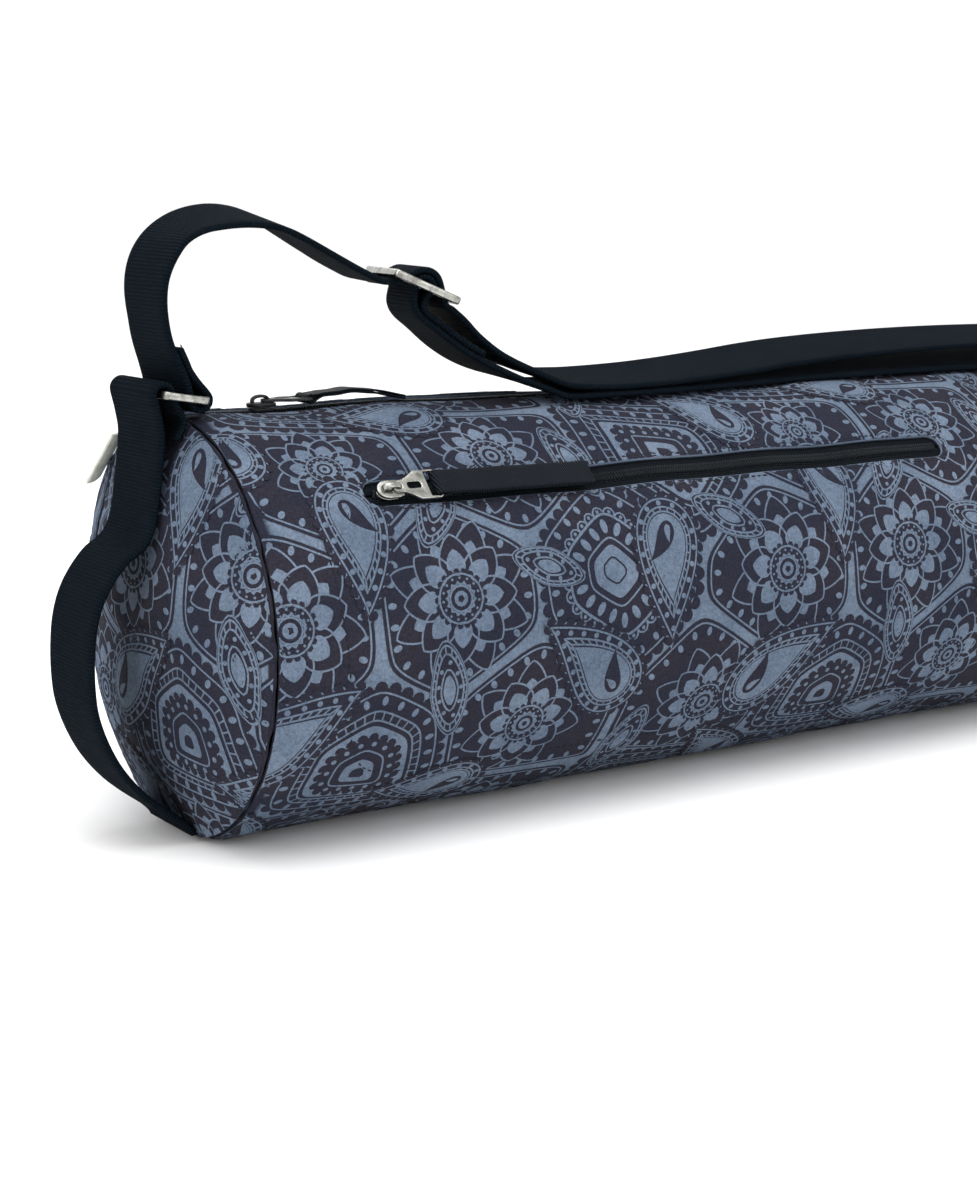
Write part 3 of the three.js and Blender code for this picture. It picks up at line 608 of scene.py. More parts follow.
def smooth_line(points: Sequence, count: int) -> Point:
    """Returns points on a centripetal Catmull-Rom curve through the given ones.

    Args:
        points: The given points.
        count: How many steps to make.

    Returns:
        The points.
    """
    p = np.asarray(points, float)
    ends = [2 * p[0] - p[1], 2 * p[-1] - p[-2]]
    p = np.concatenate([[ends[0]], p, [ends[1]]])
    last = len(p) - 3
    made = []
    for t in np.linspace(0, last, count + 1):
        i = min(int(t), last - 1)
        w = t - i
        q = p[i : i + 4]
        d = np.maximum(np.linalg.norm(np.diff(q, axis=0), axis=1) ** 0.5, 1e-9)
        t1 = ((q[1] - q[0]) / d[0] - (q[2] - q[0]) / (d[0] + d[1]) + (q[2] - q[1]) / d[1]) * d[1]
        t2 = ((q[2] - q[1]) / d[1] - (q[3] - q[1]) / (d[1] + d[2]) + (q[3] - q[2]) / d[2]) * d[1]
        c2 = -3 * q[1] + 3 * q[2] - 2 * t1 - t2
        c3 = 2 * q[1] - 2 * q[2] + t1 + t2
        made.append(q[1] + t1 * w + c2 * w * w + c3 * w**3)
    return np.array(made)


# The bag's form


@dataclass(frozen=True)
class Dent:
    """A soft dent: its middle, its reach and how far it sinks, as shares of length and radius."""

    along: float
    around: float
    reach_along: float
    reach_around: float
    sink: float


@dataclass(frozen=True)
class BagForm:
    """The stuffed tube that every piece on the bag follows."""

    length: float = 0.680
    radius: float = 0.080
    resting_width: float = 0.036
    cloth: float = 0.0016
    end_bulge: float = 0.0175
    dome_power: float = 2.6
    rim_tuck: float = 0.0018
    rim_reach: float = 0.011
    creep: float = 0.0018
    clearance: float = 0.0003
    zip_opening: float = 0.018
    tape_overlap: float = 0.005
    tape: float = 0.001
    mouth_length: float = 0.291
    mouth_height: float = 0.011
    mouth_from_rim: float = 0.045
    mouth_angle: float = 131.0
    webbing: float = 0.038
    webbing_thickness: float = 0.0024
    dents: tuple = (
        Dent(0.036, 146, 0.022, 11, 0.022),
        Dent(0.04, 86, 0.018, 26, 0.011),
        Dent(0.05, 214, 0.03, 12, 0.024),
        Dent(0.3, 62, 0.1, 16, 0.012),
        Dent(0.42, 250, 0.12, 22, 0.022),
        Dent(0.74, 78, 0.09, 20, 0.016),
        Dent(0.955, 212, 0.03, 12, 0.022),
        Dent(0.962, 144, 0.022, 12, 0.022),
    )

    @property
    def left(self) -> float:
        """The left end seam's place along the bag."""
        return -self.length / 2

    @property
    def mouth_middle(self) -> float:
        """The middle of the pocket's mouth along the bag."""
        return self.left + self.mouth_from_rim + self.mouth_length / 2

    @property
    def mouth_arc(self) -> float:
        """The pocket mouth's distance from the bottom, round the bag."""
        return self.arc(self.mouth_angle)

    def arc(self, angle: float) -> float:
        """Returns the distance from the bottom, round the bag, at an angle in degrees."""
        return math.radians(angle) * self.radius

    def folds(self, x: Point, turn: Point) -> Point:
        """Returns how far the cloth's small folds sink: gathers at the end seams and soft waves.

        Args:
            x: Places along the bag.
            turn: Angles round it in radians.

        Returns:
            The depths.
        """
        near = np.minimum(x - self.left, self.length / 2 - x)
        side = np.where(x < 0, 0.0, 2.1)
        gathers = np.sin(23 * turn + side) + 0.7 * np.sin(34 * turn + 1.3 + side) + 0.2 * np.sin(49 * turn + 4.0)
        patch = 0.55 + 0.45 * np.sin(3 * turn + 0.6 + side)
        puckers = 0.00042 * patch * gathers * np.exp(-np.maximum(near - 0.004, 0) / 0.011)
        waves = np.sin(x * 34 + 2.2 * turn + 0.8) * np.sin(3 * turn + x * 9) * 0.0006
        waves += np.sin(x * 71 - 4.1 * turn) * np.sin(5 * turn + x * 23 + 1.0) * 0.00035
        top = np.exp(-(((np.degrees(turn) % 360) - 166) / 16) ** 2)
        drape = 0.0011 * top * np.sin(x * 88 + 3 * turn) * np.exp(-np.abs(x - self.left) / 0.16)
        mouth = np.exp(-((turn * self.radius - self.mouth_arc) / 0.016) ** 2)
        beside = np.clip(1 - np.abs(x - self.mouth_middle) / (self.mouth_length / 2 + 0.03), 0, 1)
        pull = 0.0004 * mouth * np.minimum(beside * 4, 1) * np.sin((x - self.mouth_middle) * 105)
        calm = np.clip(near / 0.003, 0, 1)
        return (puckers + waves + drape + pull) * calm + 0.0005 * calm

    def drawn_in(self, x: Point, turn: Point) -> Point:
        """Returns how far the cloth is drawn in by its seams and dents.

        Args:
            x: Places along the bag.
            turn: Angles round it in radians.

        Returns:
            The depths.
        """
        near = np.minimum(x - self.left, self.length / 2 - x)
        tuck = np.clip(1 - near / self.rim_reach, 0, 1)
        depth = self.rim_tuck * tuck * tuck
        around = np.degrees(turn) % 360
        for dent in self.dents:
            a = ((x - self.left) / self.length - dent.along) / dent.reach_along
            b = (around - dent.around) / dent.reach_around
            depth = depth + dent.sink * self.radius * np.exp(-a * a - b * b)
        return depth

    def skin(self, x: Point, turn: Point, depth: Point | float) -> Point:
        """Returns places on the bag.

        Args:
            x: Places along the bag.
            turn: Angles round it in radians, from the bottom over the front.
            depth: How far under the outside of the cloth.

        Returns:
            The points, one row each.
        """
        x, turn = np.broadcast_arrays(np.asarray(x, float), np.asarray(turn, float))
        inward = depth + self.drawn_in(x, turn) + self.folds(x, turn)
        share = np.clip((x - self.left) / self.length, 0, 1)
        swing = np.sin(turn + 5 * share) + np.cos(3 * turn) / 2
        crept = self.creep * np.sin(math.pi * share) * swing
        lower = self.radius / math.sqrt(1 - (self.resting_width / 2 / self.radius) ** 2)
        tall = np.where(np.cos(turn) > 0, lower, self.radius)
        y = -(self.radius - inward) * np.sin(turn)
        z = self.radius - (tall - inward) * np.cos(turn)
        return np.stack([x + crept, y, np.maximum(z, np.maximum(inward, 0.0))], axis=-1)

    def frame_at(self, x: float, angle: float) -> Matrix:
        """Returns a small piece's frame: X along the bag, Y up the cloth, Z out of the cloth.

        Args:
            x: Its place along the bag.
            angle: Its angle round the bag in degrees.

        Returns:
            The frame.
        """
        turn = math.radians(angle)
        up = Vector((0, -math.cos(turn), math.sin(turn)))
        out = Vector((0, -math.sin(turn), -math.cos(turn)))
        place = Vector(self.skin(np.array(x), np.array(turn), 0.0))
        return Matrix.Translation(place) @ Matrix(((1, 0, 0), up, out)).transposed().to_4x4()

    def stands(self, share: Point) -> Point:
        """Returns how far an end panel stands out at a share of the way to its rim."""
        return self.end_bulge * (1 - share**self.dome_power)

    def resting_height(self, drop: float, shift: float) -> float:
        """Returns the height of webbing's middle where it rests on the bag, leaning and shifted.

        Args:
            drop: How steeply it leans.
            shift: How far it is shifted, as a share of its width.

        Returns:
            The height over the floor.
        """
        lean = math.atan(drop)
        over = self.radius + 2 * self.clearance + self.webbing_thickness / 2
        over -= shift * self.webbing * math.sin(lean)
        return self.radius + over / math.cos(lean)


class ClothGrid:
    """A grid of points on a cloth, with flat coordinates along its two ways."""

    def __init__(self, first: Point, second: Point, points: Point, facing: int = 1) -> None:
        """Keeps the grid and works out its normals, turned over where facing is -1.

        Args:
            first: Coordinates of the rows.
            second: Coordinates of the columns.
            points: The grid's points.
            facing: 1 or -1.
        """
        self.first, self.second, self.points = first, second, points
        normals = np.cross(np.gradient(points, axis=0), np.gradient(points, axis=1)) * facing
        self.normals = unit(normals)

    def at(self, a: Point, b: Point, lift: Point | float) -> Point:
        """Returns points on the grid at two coordinates, lifted off it along its normals.

        Args:
            a: First coordinates.
            b: Second coordinates.
            lift: How far off the cloth.

        Returns:
            The points, one row each.
        """
        i = np.clip(np.searchsorted(self.first, a, "right") - 1, 0, len(self.first) - 2)
        j = np.clip(np.searchsorted(self.second, b, "right") - 1, 0, len(self.second) - 2)
        s = ((a - self.first[i]) / (self.first[i + 1] - self.first[i]))[:, None]
        t = ((b - self.second[j]) / (self.second[j + 1] - self.second[j]))[:, None]
        s, t = np.clip(s, 0, 1), np.clip(t, 0, 1)
        blend = lambda grid: (
            grid[i, j] * (1 - s) * (1 - t)
            + grid[i + 1, j] * s * (1 - t)
            + grid[i, j + 1] * (1 - s) * t
            + grid[i + 1, j + 1] * s * t
        )
        return blend(self.points) + unit(blend(self.normals)) * np.reshape(lift, (-1, 1))

    def place(self, flat: Point, lift: Point | float) -> Point:
        """Returns the points of flat coordinates, lifted off the cloth."""
        return self.at(flat[:, 0], flat[:, 1], lift)


class DomeGrid(ClothGrid):
    """An end panel's grid, whose flat coordinates are those of the round cut of cloth."""

    def place(self, flat: Point, lift: Point | float) -> Point:
        """Returns the points of places on the round cut: front to back, then bottom to top."""
        turn = np.arctan2(flat[:, 0], -flat[:, 1]) % (2 * math.pi)
        return self.at(np.hypot(flat[:, 0], flat[:, 1]), turn, lift)


# The print


class InkPad:
    """Collects the print's marks on flat cloth: corners with a layer and an ink share, and faces."""

    step = 0.0017

    def __init__(self) -> None:
        """Starts an empty pad with marks placed as drawn."""
        self.corners: list[Point] = []
        self.faces: list[tuple] = []
        self.layers: list[Point] = []
        self.inks: list[Point] = []
        self.count = 0
        self.layer = 1.0
        self.turn = np.eye(2)
        self.shift = np.zeros(2)

    def at(self, x: float, y: float, degrees: float = 0.0, flip: bool = False, layer: float = 1.0) -> None:
        """Sets where the next marks go: their place, turn, mirror and layer.

        Args:
            x: Place along the cloth.
            y: Place up the cloth.
            degrees: Their turn.
            flip: Whether they are mirrored.
            layer: Their layer.
        """
        c, s = math.cos(math.radians(degrees)), math.sin(math.radians(degrees))
        self.turn = np.array([[c, -s], [s, c]]) @ np.diag([-1.0 if flip else 1.0, 1.0])
        self.flipped = flip
        self.shift = np.array([x, y])
        self.layer = layer

    def keep(self, points: Point, faces: Sequence[tuple], ink: float, over: float) -> None:
        """Adds corners and faces, placed and turned.

        Args:
            points: The corners as drawn.
            faces: The faces.
            ink: Their ink, 0 or 1.
            over: How far it lies over the layer.
        """
        placed = points @ self.turn.T + self.shift
        self.corners.append(placed)
        if self.flipped:
            faces = [tuple(reversed(f)) for f in faces]
        self.faces.extend(tuple(int(k) + self.count for k in f) for f in faces)
        self.layers.append(np.full(len(points), self.layer + over))
        self.inks.append(np.full(len(points), ink))
        self.count += len(points)

    @staticmethod
    def even(points: Point, closed: bool, step: float) -> Point:
        """Returns points spread evenly along a line.

        Args:
            points: The line's points.
            closed: Whether the line is a ring.
            step: Their distance, about.

        Returns:
            The points.
        """
        p = np.asarray(points, float)
        if closed:
            p = np.concatenate([p, p[:1]])
        length = np.concatenate([[0], np.cumsum(np.linalg.norm(np.diff(p, axis=0), axis=1))])
        count = max(3 if closed else 1, round(length[-1] / step))
        spots = np.linspace(0, length[-1], count + 1)
        made = np.stack([np.interp(spots, length, p[:, k]) for k in (0, 1)], axis=1)
        return made[:-1] if closed else made

    def line(self, points: Point, width: float, closed: bool = False, ink: float = 1.0, over: float = 0.1) -> None:
        """Draws a line of a width through points.

        Args:
            points: The line's points.
            width: Its width.
            closed: Whether the line is a ring.
            ink: Its ink.
            over: How far it lies over the layer.
        """
        p = self.even(points, closed, self.step)
        if closed:
            run = unit(np.roll(p, -1, 0) - np.roll(p, 1, 0))
        else:
            run = unit(np.gradient(p, axis=0))
        side = np.stack([-run[:, 1], run[:, 0]], axis=1) * width / 2
        n = len(p)
        corners = np.concatenate([p + side, p - side])
        last = n if closed else n - 1
        faces = [(k, n + k, n + (k + 1) % n, (k + 1) % n) for k in range(last)]
        self.keep(corners, faces, ink, over)

    def patch(self, outline: Point, ink: float = 1.0, over: float = 0.1, centre: Point | None = None) -> None:
        """Fills a closed outline that can be seen whole from its centre.

        Args:
            outline: The outline.
            ink: Its ink.
            over: How far it lies over the layer.
            centre: The centre, or none for the mean point.
        """
        p = self.even(outline, True, self.step)
        area = np.sum(p[:, 0] * np.roll(p[:, 1], -1) - np.roll(p[:, 0], -1) * p[:, 1])
        if area < 0:
            p = p[::-1]
        middle = p.mean(0) if centre is None else np.asarray(centre, float)
        reach = float(np.linalg.norm(p - middle, axis=1).max())
        rings = max(1, round(reach / (1.5 * self.step)))
        n = len(p)
        shares = [1 - k / rings for k in range(rings)]
        corners = np.concatenate([middle + (p - middle) * s for s in shares] + [middle[None]])
        faces = []
        for r in range(rings - 1):
            a, b = r * n, (r + 1) * n
            faces += [(a + k, a + (k + 1) % n, b + (k + 1) % n, b + k) for k in range(n)]
        a, tip = (rings - 1) * n, rings * n
        faces += [(a + k, a + (k + 1) % n, tip) for k in range(n)]
        self.keep(corners, faces, ink, over)

    def dot(self, x: float, y: float, radius: float, long: float = 1.0, degrees: float = 0.0, ink: float = 1.0) -> None:
        """Draws a round or long dot.

        Args:
            x: Its place.
            y: Its place.
            radius: Its radius.
            long: Its length over its width.
            degrees: Its turn.
            ink: Its ink.
        """
        turn = np.arange(9) * 2 * math.pi / 9
        c, s = math.cos(math.radians(degrees)), math.sin(math.radians(degrees))
        p = np.stack([radius * long * np.cos(turn), radius * np.sin(turn)], axis=1) @ np.array([[c, s], [-s, c]])
        corners = np.concatenate([p, [[0, 0]]]) + np.array([x, y])
        self.keep(corners, [(k, (k + 1) % 9, 9) for k in range(9)], ink, 0.3)

    def beads(self, points: Point, radius: float, spacing: float, closed: bool = True, long: float = 1.0) -> None:
        """Draws a row of dots along a line.

        Args:
            points: The line's points.
            radius: The dots' radius.
            spacing: Their distance.
            closed: Whether the line is a ring.
            long: Their length over their width.
        """
        p = self.even(points, closed, spacing)
        run = unit(np.roll(p, -1, 0) - np.roll(p, 1, 0)) if closed else unit(np.gradient(p, axis=0))
        for (x, y), (rx, ry) in zip(p, run):
            self.dot(x, y, radius, long, math.degrees(math.atan2(ry, rx)) + 90)

    def ladder(self, outer: Point, inner: Point, spacing: float, width: float, closed: bool = True) -> None:
        """Draws two lines and the rungs between them.

        Args:
            outer: One line.
            inner: The other.
            spacing: The rungs' distance.
            width: The lines' width.
            closed: Whether the line is a ring.
        """
        self.line(outer, width, closed)
        self.line(inner, width, closed)
        count = len(self.even(outer, closed, spacing))
        a = self.even(outer, closed, self.length(outer, closed) / count)
        b = self.even(inner, closed, self.length(inner, closed) / count)
        for start, end in zip(a, b):
            self.line(np.array([start, end]), width * 0.85, over=0.2)

    def scallops(
        self,
        points: Point,
        size: float,
        width: float,
        closed: bool = True,
        filled: bool = False,
        ink: float = 1.0,
        over: float = 0.05,
    ) -> None:
        """Draws a fringe of small arches along a line, on its outer side.

        Args:
            points: The line's points.
            size: Width of an arch.
            width: Width of its line.
            closed: Whether the line is a ring.
            filled: Whether arches are filled.
            ink: Their ink.
            over: How far it lies over the layer.
        """
        p = self.even(points, closed, size)
        pairs = zip(p, np.roll(p, -1, 0)) if closed else zip(p[:-1], p[1:])
        for a, b in pairs:
            middle, half = (a + b) / 2, (b - a) / 2
            out = np.array([half[1], -half[0]])
            turn = np.linspace(0, math.pi, 7)[:, None]
            arch = middle - half * np.cos(turn) + out * np.sin(turn) * 1.15
            if filled:
                self.patch(arch, ink, over)
            else:
                self.line(arch, width, over=over + 0.05)
                self.dot(*(middle + out * 0.42), size * 0.15)

    def tile(self, places: Sequence[tuple[float, float]]) -> None:
        """Repeats everything drawn so far at other places, instead of where it was drawn.

        Args:
            places: The places.
        """
        corners, layers, inks = (np.concatenate(k) for k in (self.corners, self.layers, self.inks))
        faces = self.faces
        self.corners = [corners + place for place in places]
        self.layers, self.inks = [layers] * len(places), [inks] * len(places)
        self.faces = [
            tuple(k + step * len(corners) for k in face) for step in range(len(places)) for face in faces
        ]

    @staticmethod
    def length(points: Point, closed: bool) -> float:
        """Returns a line's length.

        Args:
            points: The line's points.
            closed: Whether the line is a ring.

        Returns:
            The length.
        """
        p = np.asarray(points, float)
        if closed:
            p = np.concatenate([p, p[:1]])
        return float(np.linalg.norm(np.diff(p, axis=0), axis=1).sum())


def circle(radius: float, count: int = 48) -> Point:
    """Returns a circle's points, anticlockwise."""
    turn = np.arange(count) * 2 * math.pi / count
    return radius * np.stack([np.cos(turn), np.sin(turn)], axis=1)


def teardrop(half_width: float, half_height: float, curl: float = 0.0, point: float = 1.2) -> Point:
    """Returns a teardrop's outline, its tip up and bent to a side by curl.

    Args:
        half_width: Half its width.
        half_height: Half its height.
        curl: How far the tip bends.
        point: How slim the tip is.

    Returns:
        The outline.
    """
    t = np.linspace(0, 2 * math.pi, 73)[:-1]
    x = -half_width * np.sin(t) * np.sin(t / 2) ** point * 1.25
    y = half_height * np.cos(t)
    rise = (y + half_height) / (2 * half_height)
    return np.stack([x + curl * half_height * rise**2.4, y - abs(curl) * 0.25 * half_height * rise**3], axis=1)


def almond(half_width: float, half_height: float, fullness: float = 1.0) -> Point:
    """Returns a leaf's outline with a point at each end.

    Args:
        half_width: Half its width.
        half_height: Half its height.
        fullness: How pointed its sides are.

    Returns:
        The outline.
    """
    t = np.linspace(0, 2 * math.pi, 61)[:-1]
    x = half_width * np.cos(t) * np.abs(np.cos(t)) ** (0.15 * fullness)
    y = half_height * np.sin(t) * np.abs(np.sin(t)) ** 0.35
    return np.stack([x, y], axis=1)


def nested(outline: Point, share: float, centre: Sequence[float] = (0.0, 0.0)) -> Point:
    """Returns an outline shrunk about a centre."""
    middle = np.asarray(centre, float)
    return middle + (np.asarray(outline) - middle) * share


class Motifs:
    """Traditional paisley ornaments of the print: each is drawn round the pad's place."""

    fine = 0.00075
    bold = 0.0011

    def __init__(self, pad: InkPad) -> None:
        """Draws on a pad."""
        self.pad = pad

    def bed(self, outline: Point, fringe: bool) -> None:
        """Draws a dark bed with a beaded edge, and a fringe of small arches round it.

        Args:
            outline: The bed's outline.
            fringe: Whether it has the fringe.
        """
        pad = self.pad
        pad.patch(outline, ink=0.0, over=0.0, centre=(0, 0))
        if fringe:
            pad.scallops(nested(outline, 0.99), 0.0058, self.fine, filled=True, ink=0.0)
        pad.line(nested(outline, 0.95), self.fine, True)
        pad.beads(nested(outline, 0.87), 0.00125, 0.0078, long=1.5)

    def paisley(self, half_width: float, half_height: float, curl: float) -> None:
        """Draws a curled teardrop with a beaded border, a ladder and a filled heart.

        Args:
            half_width: Half its width.
            half_height: Half its height.
            curl: How far the tip bends.
        """
        pad = self.pad
        edge = teardrop(half_width, half_height, curl)
        heart = (0.0, -0.42 * half_height)
        pad.patch(nested(edge, 1.08, heart), over=-0.25, centre=heart)
        pad.patch(nested(edge, 1.03, heart), ink=0.0, over=0.0, centre=heart)
        pad.scallops(nested(edge, 1.03, heart), 0.0046, self.fine, filled=True, ink=0.0)
        pad.line(nested(edge, 0.97, heart), self.fine, True)
        pad.beads(nested(edge, 0.87, heart), 0.00115, 0.0064)
        pad.ladder(nested(edge, 0.77, heart), nested(edge, 0.66, heart), 0.0038, self.fine)
        pad.patch(nested(edge, 0.61, heart), over=0.1, centre=heart)
        spoon = teardrop(half_width * 0.26, half_height * 0.34, -curl * 1.2)
        pad.patch(spoon + [0, -0.34 * half_height], ink=0.0, over=0.35, centre=(0, -0.5 * half_height))
        pad.patch(teardrop(half_width * 0.1, half_height * 0.13, curl) + [0, -0.5 * half_height], over=0.5)

    def flower(self, reach: float, petals: int) -> None:
        """Draws an open flower: pointed petals that hold drops, round a beaded middle.

        Args:
            reach: Its radius.
            petals: How many petals a ring has.
        """
        pad = self.pad
        core = reach * 0.38
        for ring, tip in ((0, 0.86), (1, 1.08)):
            for k in range(petals):
                turn = 2 * math.pi * (k + 0.5 * ring) / petals
                size = reach * tip - core * 0.8
                wide = math.pi * reach * tip * (0.72 - 0.12 * ring) / petals
                self.petal(core * 0.8, turn, size, wide, 0.3 - 0.2 * ring)
        pad.layer += 0.4
        pad.patch(circle(core), ink=0.0, over=0.0)
        pad.scallops(circle(core), core * 0.3, self.fine, filled=True, ink=0.0)
        pad.line(circle(core * 0.93), self.fine, True, over=0.1)
        pad.beads(circle(core * 0.78), core * 0.055, core * 0.32)
        pad.scallops(circle(core * 0.52), core * 0.24, self.fine)
        pad.line(circle(core * 0.48), self.fine, True)
        pad.patch(circle(core * 0.30, 30))
        pad.patch(circle(core * 0.15, 20), ink=0.0, over=0.3)
        pad.layer -= 0.4

    def arches(self, outline: Point) -> None:
        """Fills a bed with nested arches: a ladder, a broad filled band and a curled drop.

        Args:
            outline: The bed's outline.
        """
        pad = self.pad
        pad.ladder(nested(outline, 0.76), nested(outline, 0.66), 0.0042, self.fine)
        pad.patch(nested(outline, 0.60), over=0.1, centre=(0, 0))
        pad.patch(nested(outline, 0.47), ink=0.0, over=0.2, centre=(0, 0))
        pad.scallops(nested(outline, 0.47), 0.0046, self.fine, filled=True, ink=0.0, over=0.2)
        pad.beads(nested(outline, 0.40), 0.0011, 0.0056)
        pad.line(nested(outline, 0.31), self.fine, True, over=0.3)
        pad.patch(nested(outline, 0.2), over=0.3, centre=(0, 0))
        pad.patch(nested(outline, 0.09), ink=0.0, over=0.4, centre=(0, 0))

    def drops(self, outline: Point) -> None:
        """Fills a bed with a scalloped ring, a row of long drops and a leaf in the middle.

        Args:
            outline: The bed's outline.
        """
        pad = self.pad
        pad.scallops(nested(outline, 0.66), 0.0052, self.fine)
        pad.line(nested(outline, 0.64), self.bold, True)
        pad.beads(nested(outline, 0.5), 0.0016, 0.0062, long=1.9)
        pad.line(nested(outline, 0.36), self.fine, True)
        pad.patch(nested(outline, 0.28), over=0.2, centre=(0, 0))
        pad.line(nested(outline, 0.14), self.fine, True, ink=0.0, over=0.3)

    def petal(self, reach: float, turn: float, size: float, wide: float, over: float) -> None:
        """Draws one pointed petal that stands out from a centre.

        Args:
            reach: Where it starts.
            turn: Its angle in radians.
            size: Its length.
            wide: Half its width.
            over: How far it lies over the layer.
        """
        pad = self.pad
        c, s = math.cos(turn), math.sin(turn)
        spin = np.array([[s, c], [-c, s]])
        middle = np.array([c, s]) * (reach + size * 0.5)
        shape = teardrop(wide, size * 0.62, 0.0, 0.5)
        pad.patch(shape @ spin.T + middle, ink=0.0, over=over)
        pad.line(shape @ spin.T + middle, self.fine, True, over=over + 0.05)
        pad.patch(shape * [0.6, 0.56] @ spin.T + middle - np.array([c, s]) * size * 0.12, over=over + 0.1)

    def leaf(self, half_width: float, half_height: float) -> None:
        """Draws a pointed leaf with a ladder border and a filled middle.

        Args:
            half_width: Half its width.
            half_height: Half its height.
        """
        pad = self.pad
        edge = almond(half_width, half_height)
        pad.patch(nested(edge, 1.06), over=-0.25)
        pad.patch(nested(edge, 1.02), ink=0.0, over=0.0)
        pad.ladder(nested(edge, 0.95), nested(edge, 0.78), 0.0034, self.fine)
        pad.beads(nested(edge, 0.62), 0.0009, 0.0058)
        pad.line(nested(edge, 0.46), self.fine, True)
        pad.patch(nested(edge, 0.34))


def rounded_cell(seed: Point, others: Point, gap: float) -> Point:
    """Returns the outline, about its seed, of the ground nearest to the seed.

    Args:
        seed: The middle of the cell.
        others: The middles of the cells round it.
        gap: The width of the bands left between cells.

    Returns:
        The outline, with rounded corners.
    """
    outline = 0.2 * np.array([(-1.0, -1.0), (1.0, -1.0), (1.0, 1.0), (-1.0, 1.0)])
    for other in others:
        reach = float(np.linalg.norm(other - seed))
        side = outline @ (other - seed) / reach - (reach - gap) / 2
        kept = []
        for k in range(len(outline)):
            m = (k + 1) % len(outline)
            if side[k] <= 0:
                kept.append(outline[k])
            if (side[k] < 0) != (side[m] < 0):
                kept.append(outline[k] + (outline[m] - outline[k]) * side[k] / (side[k] - side[m]))
        outline = np.array(kept)
    for cut in (0.13, 0.22, 0.25):
        after = np.roll(outline, -1, 0)
        outline = np.stack([outline * (1 - cut) + after * cut, outline * cut + after * (1 - cut)], 1).reshape(-1, 2)
    return outline


class Fill(Enum):
    """What a bed of the print holds."""

    FLOWER = "flower"
    ARCHES = "arches"
    DROPS = "drops"


@dataclass(frozen=True)
class PaisleyPrint:
    """The canvas's allover print: beds with flowers and arches between pale bands, and paisleys over them."""

    across: float = 0.2267
    round: float = 0.16755
    band: float = 0.0038
    beds: tuple = (
        (34, 30, Fill.FLOWER, 8), (102, 22, Fill.ARCHES, 0), (172, 34, Fill.FLOWER, 7),
        (68, 84, Fill.FLOWER, 7), (138, 88, Fill.FLOWER, 8), (208, 92, Fill.DROPS, 0),
        (24, 138, Fill.ARCHES, 0), (98, 144, Fill.FLOWER, 7), (170, 144, Fill.FLOWER, 8),
    )
    paisleys: tuple = (
        (68, 48, -38, False, 17, 31, 0.5), (202, 60, 30, True, 16, 29, 0.55), (104, 112, 200, False, 14, 27, 0.5),
        (4, 90, 160, True, 16, 29, 0.5), (138, 2, 104, False, 14, 25, 0.5), (60, 165, 20, True, 14, 26, 0.55),
    )
    leaves: tuple = (
        (134, 54, 12, 8, 19), (42, 108, 62, 7.5, 18), (136, 124, -32, 8, 18), (226, 14, -15, 8, 19),
        (178, 96, 70, 7, 16), (205, 140, 15, 8, 18),
    )

    def repeat(self, pad: InkPad) -> None:
        """Draws one repeat with its corner at the origin.

        Args:
            pad: The pad to draw on.
        """
        motifs = Motifs(pad)
        size = np.array([self.across, self.round])
        seeds = np.array([bed[:2] for bed in self.beds]) / 1000
        tiles = [np.array([i, j]) * size for i in (-1, 0, 1) for j in (-1, 0, 1)]
        for seed, (_, _, kind, petals) in zip(seeds, self.beds):
            others = np.concatenate([seeds + tile for tile in tiles])
            others = others[np.linalg.norm(others - seed, axis=1) > 1e-6]
            outline = rounded_cell(seed, others, self.band)
            pad.at(*seed, layer=0.0)
            motifs.bed(outline, kind is not Fill.FLOWER)
            pad.at(*seed, 17 * petals, layer=0.6)
            if kind is Fill.FLOWER:
                motifs.flower(0.86 * float(np.linalg.norm(outline, axis=1).min()), petals)
            pad.at(*seed, layer=0.6)
            if kind is Fill.ARCHES:
                motifs.arches(outline)
            if kind is Fill.DROPS:
                motifs.drops(outline)
        for x, y, turn, wide, tall in self.leaves:
            pad.at(x / 1000, y / 1000, turn, layer=1.6)
            motifs.leaf(wide / 1000, tall / 1000)
        for x, y, turn, flip, wide, tall, curl in self.paisleys:
            pad.at(x / 1000, y / 1000, turn, flip, 2.4)
            motifs.paisley(wide / 1000, tall / 1000, curl)

    def marks(self, corner: tuple[float, float], columns: int, rows: int) -> InkPad:
        """Returns the marks of a block of repeats.

        Args:
            corner: The block's lower left corner, counted in repeats.
            columns: How many repeats lie side by side.
            rows: How many repeats lie over each other.

        Returns:
            The pad with the marks.
        """
        pad = InkPad()
        self.repeat(pad)
        pad.tile([
            ((corner[0] + i) * self.across, (corner[1] + j) * self.round)
            for i in range(columns) for j in range(rows)
        ])
        return pad


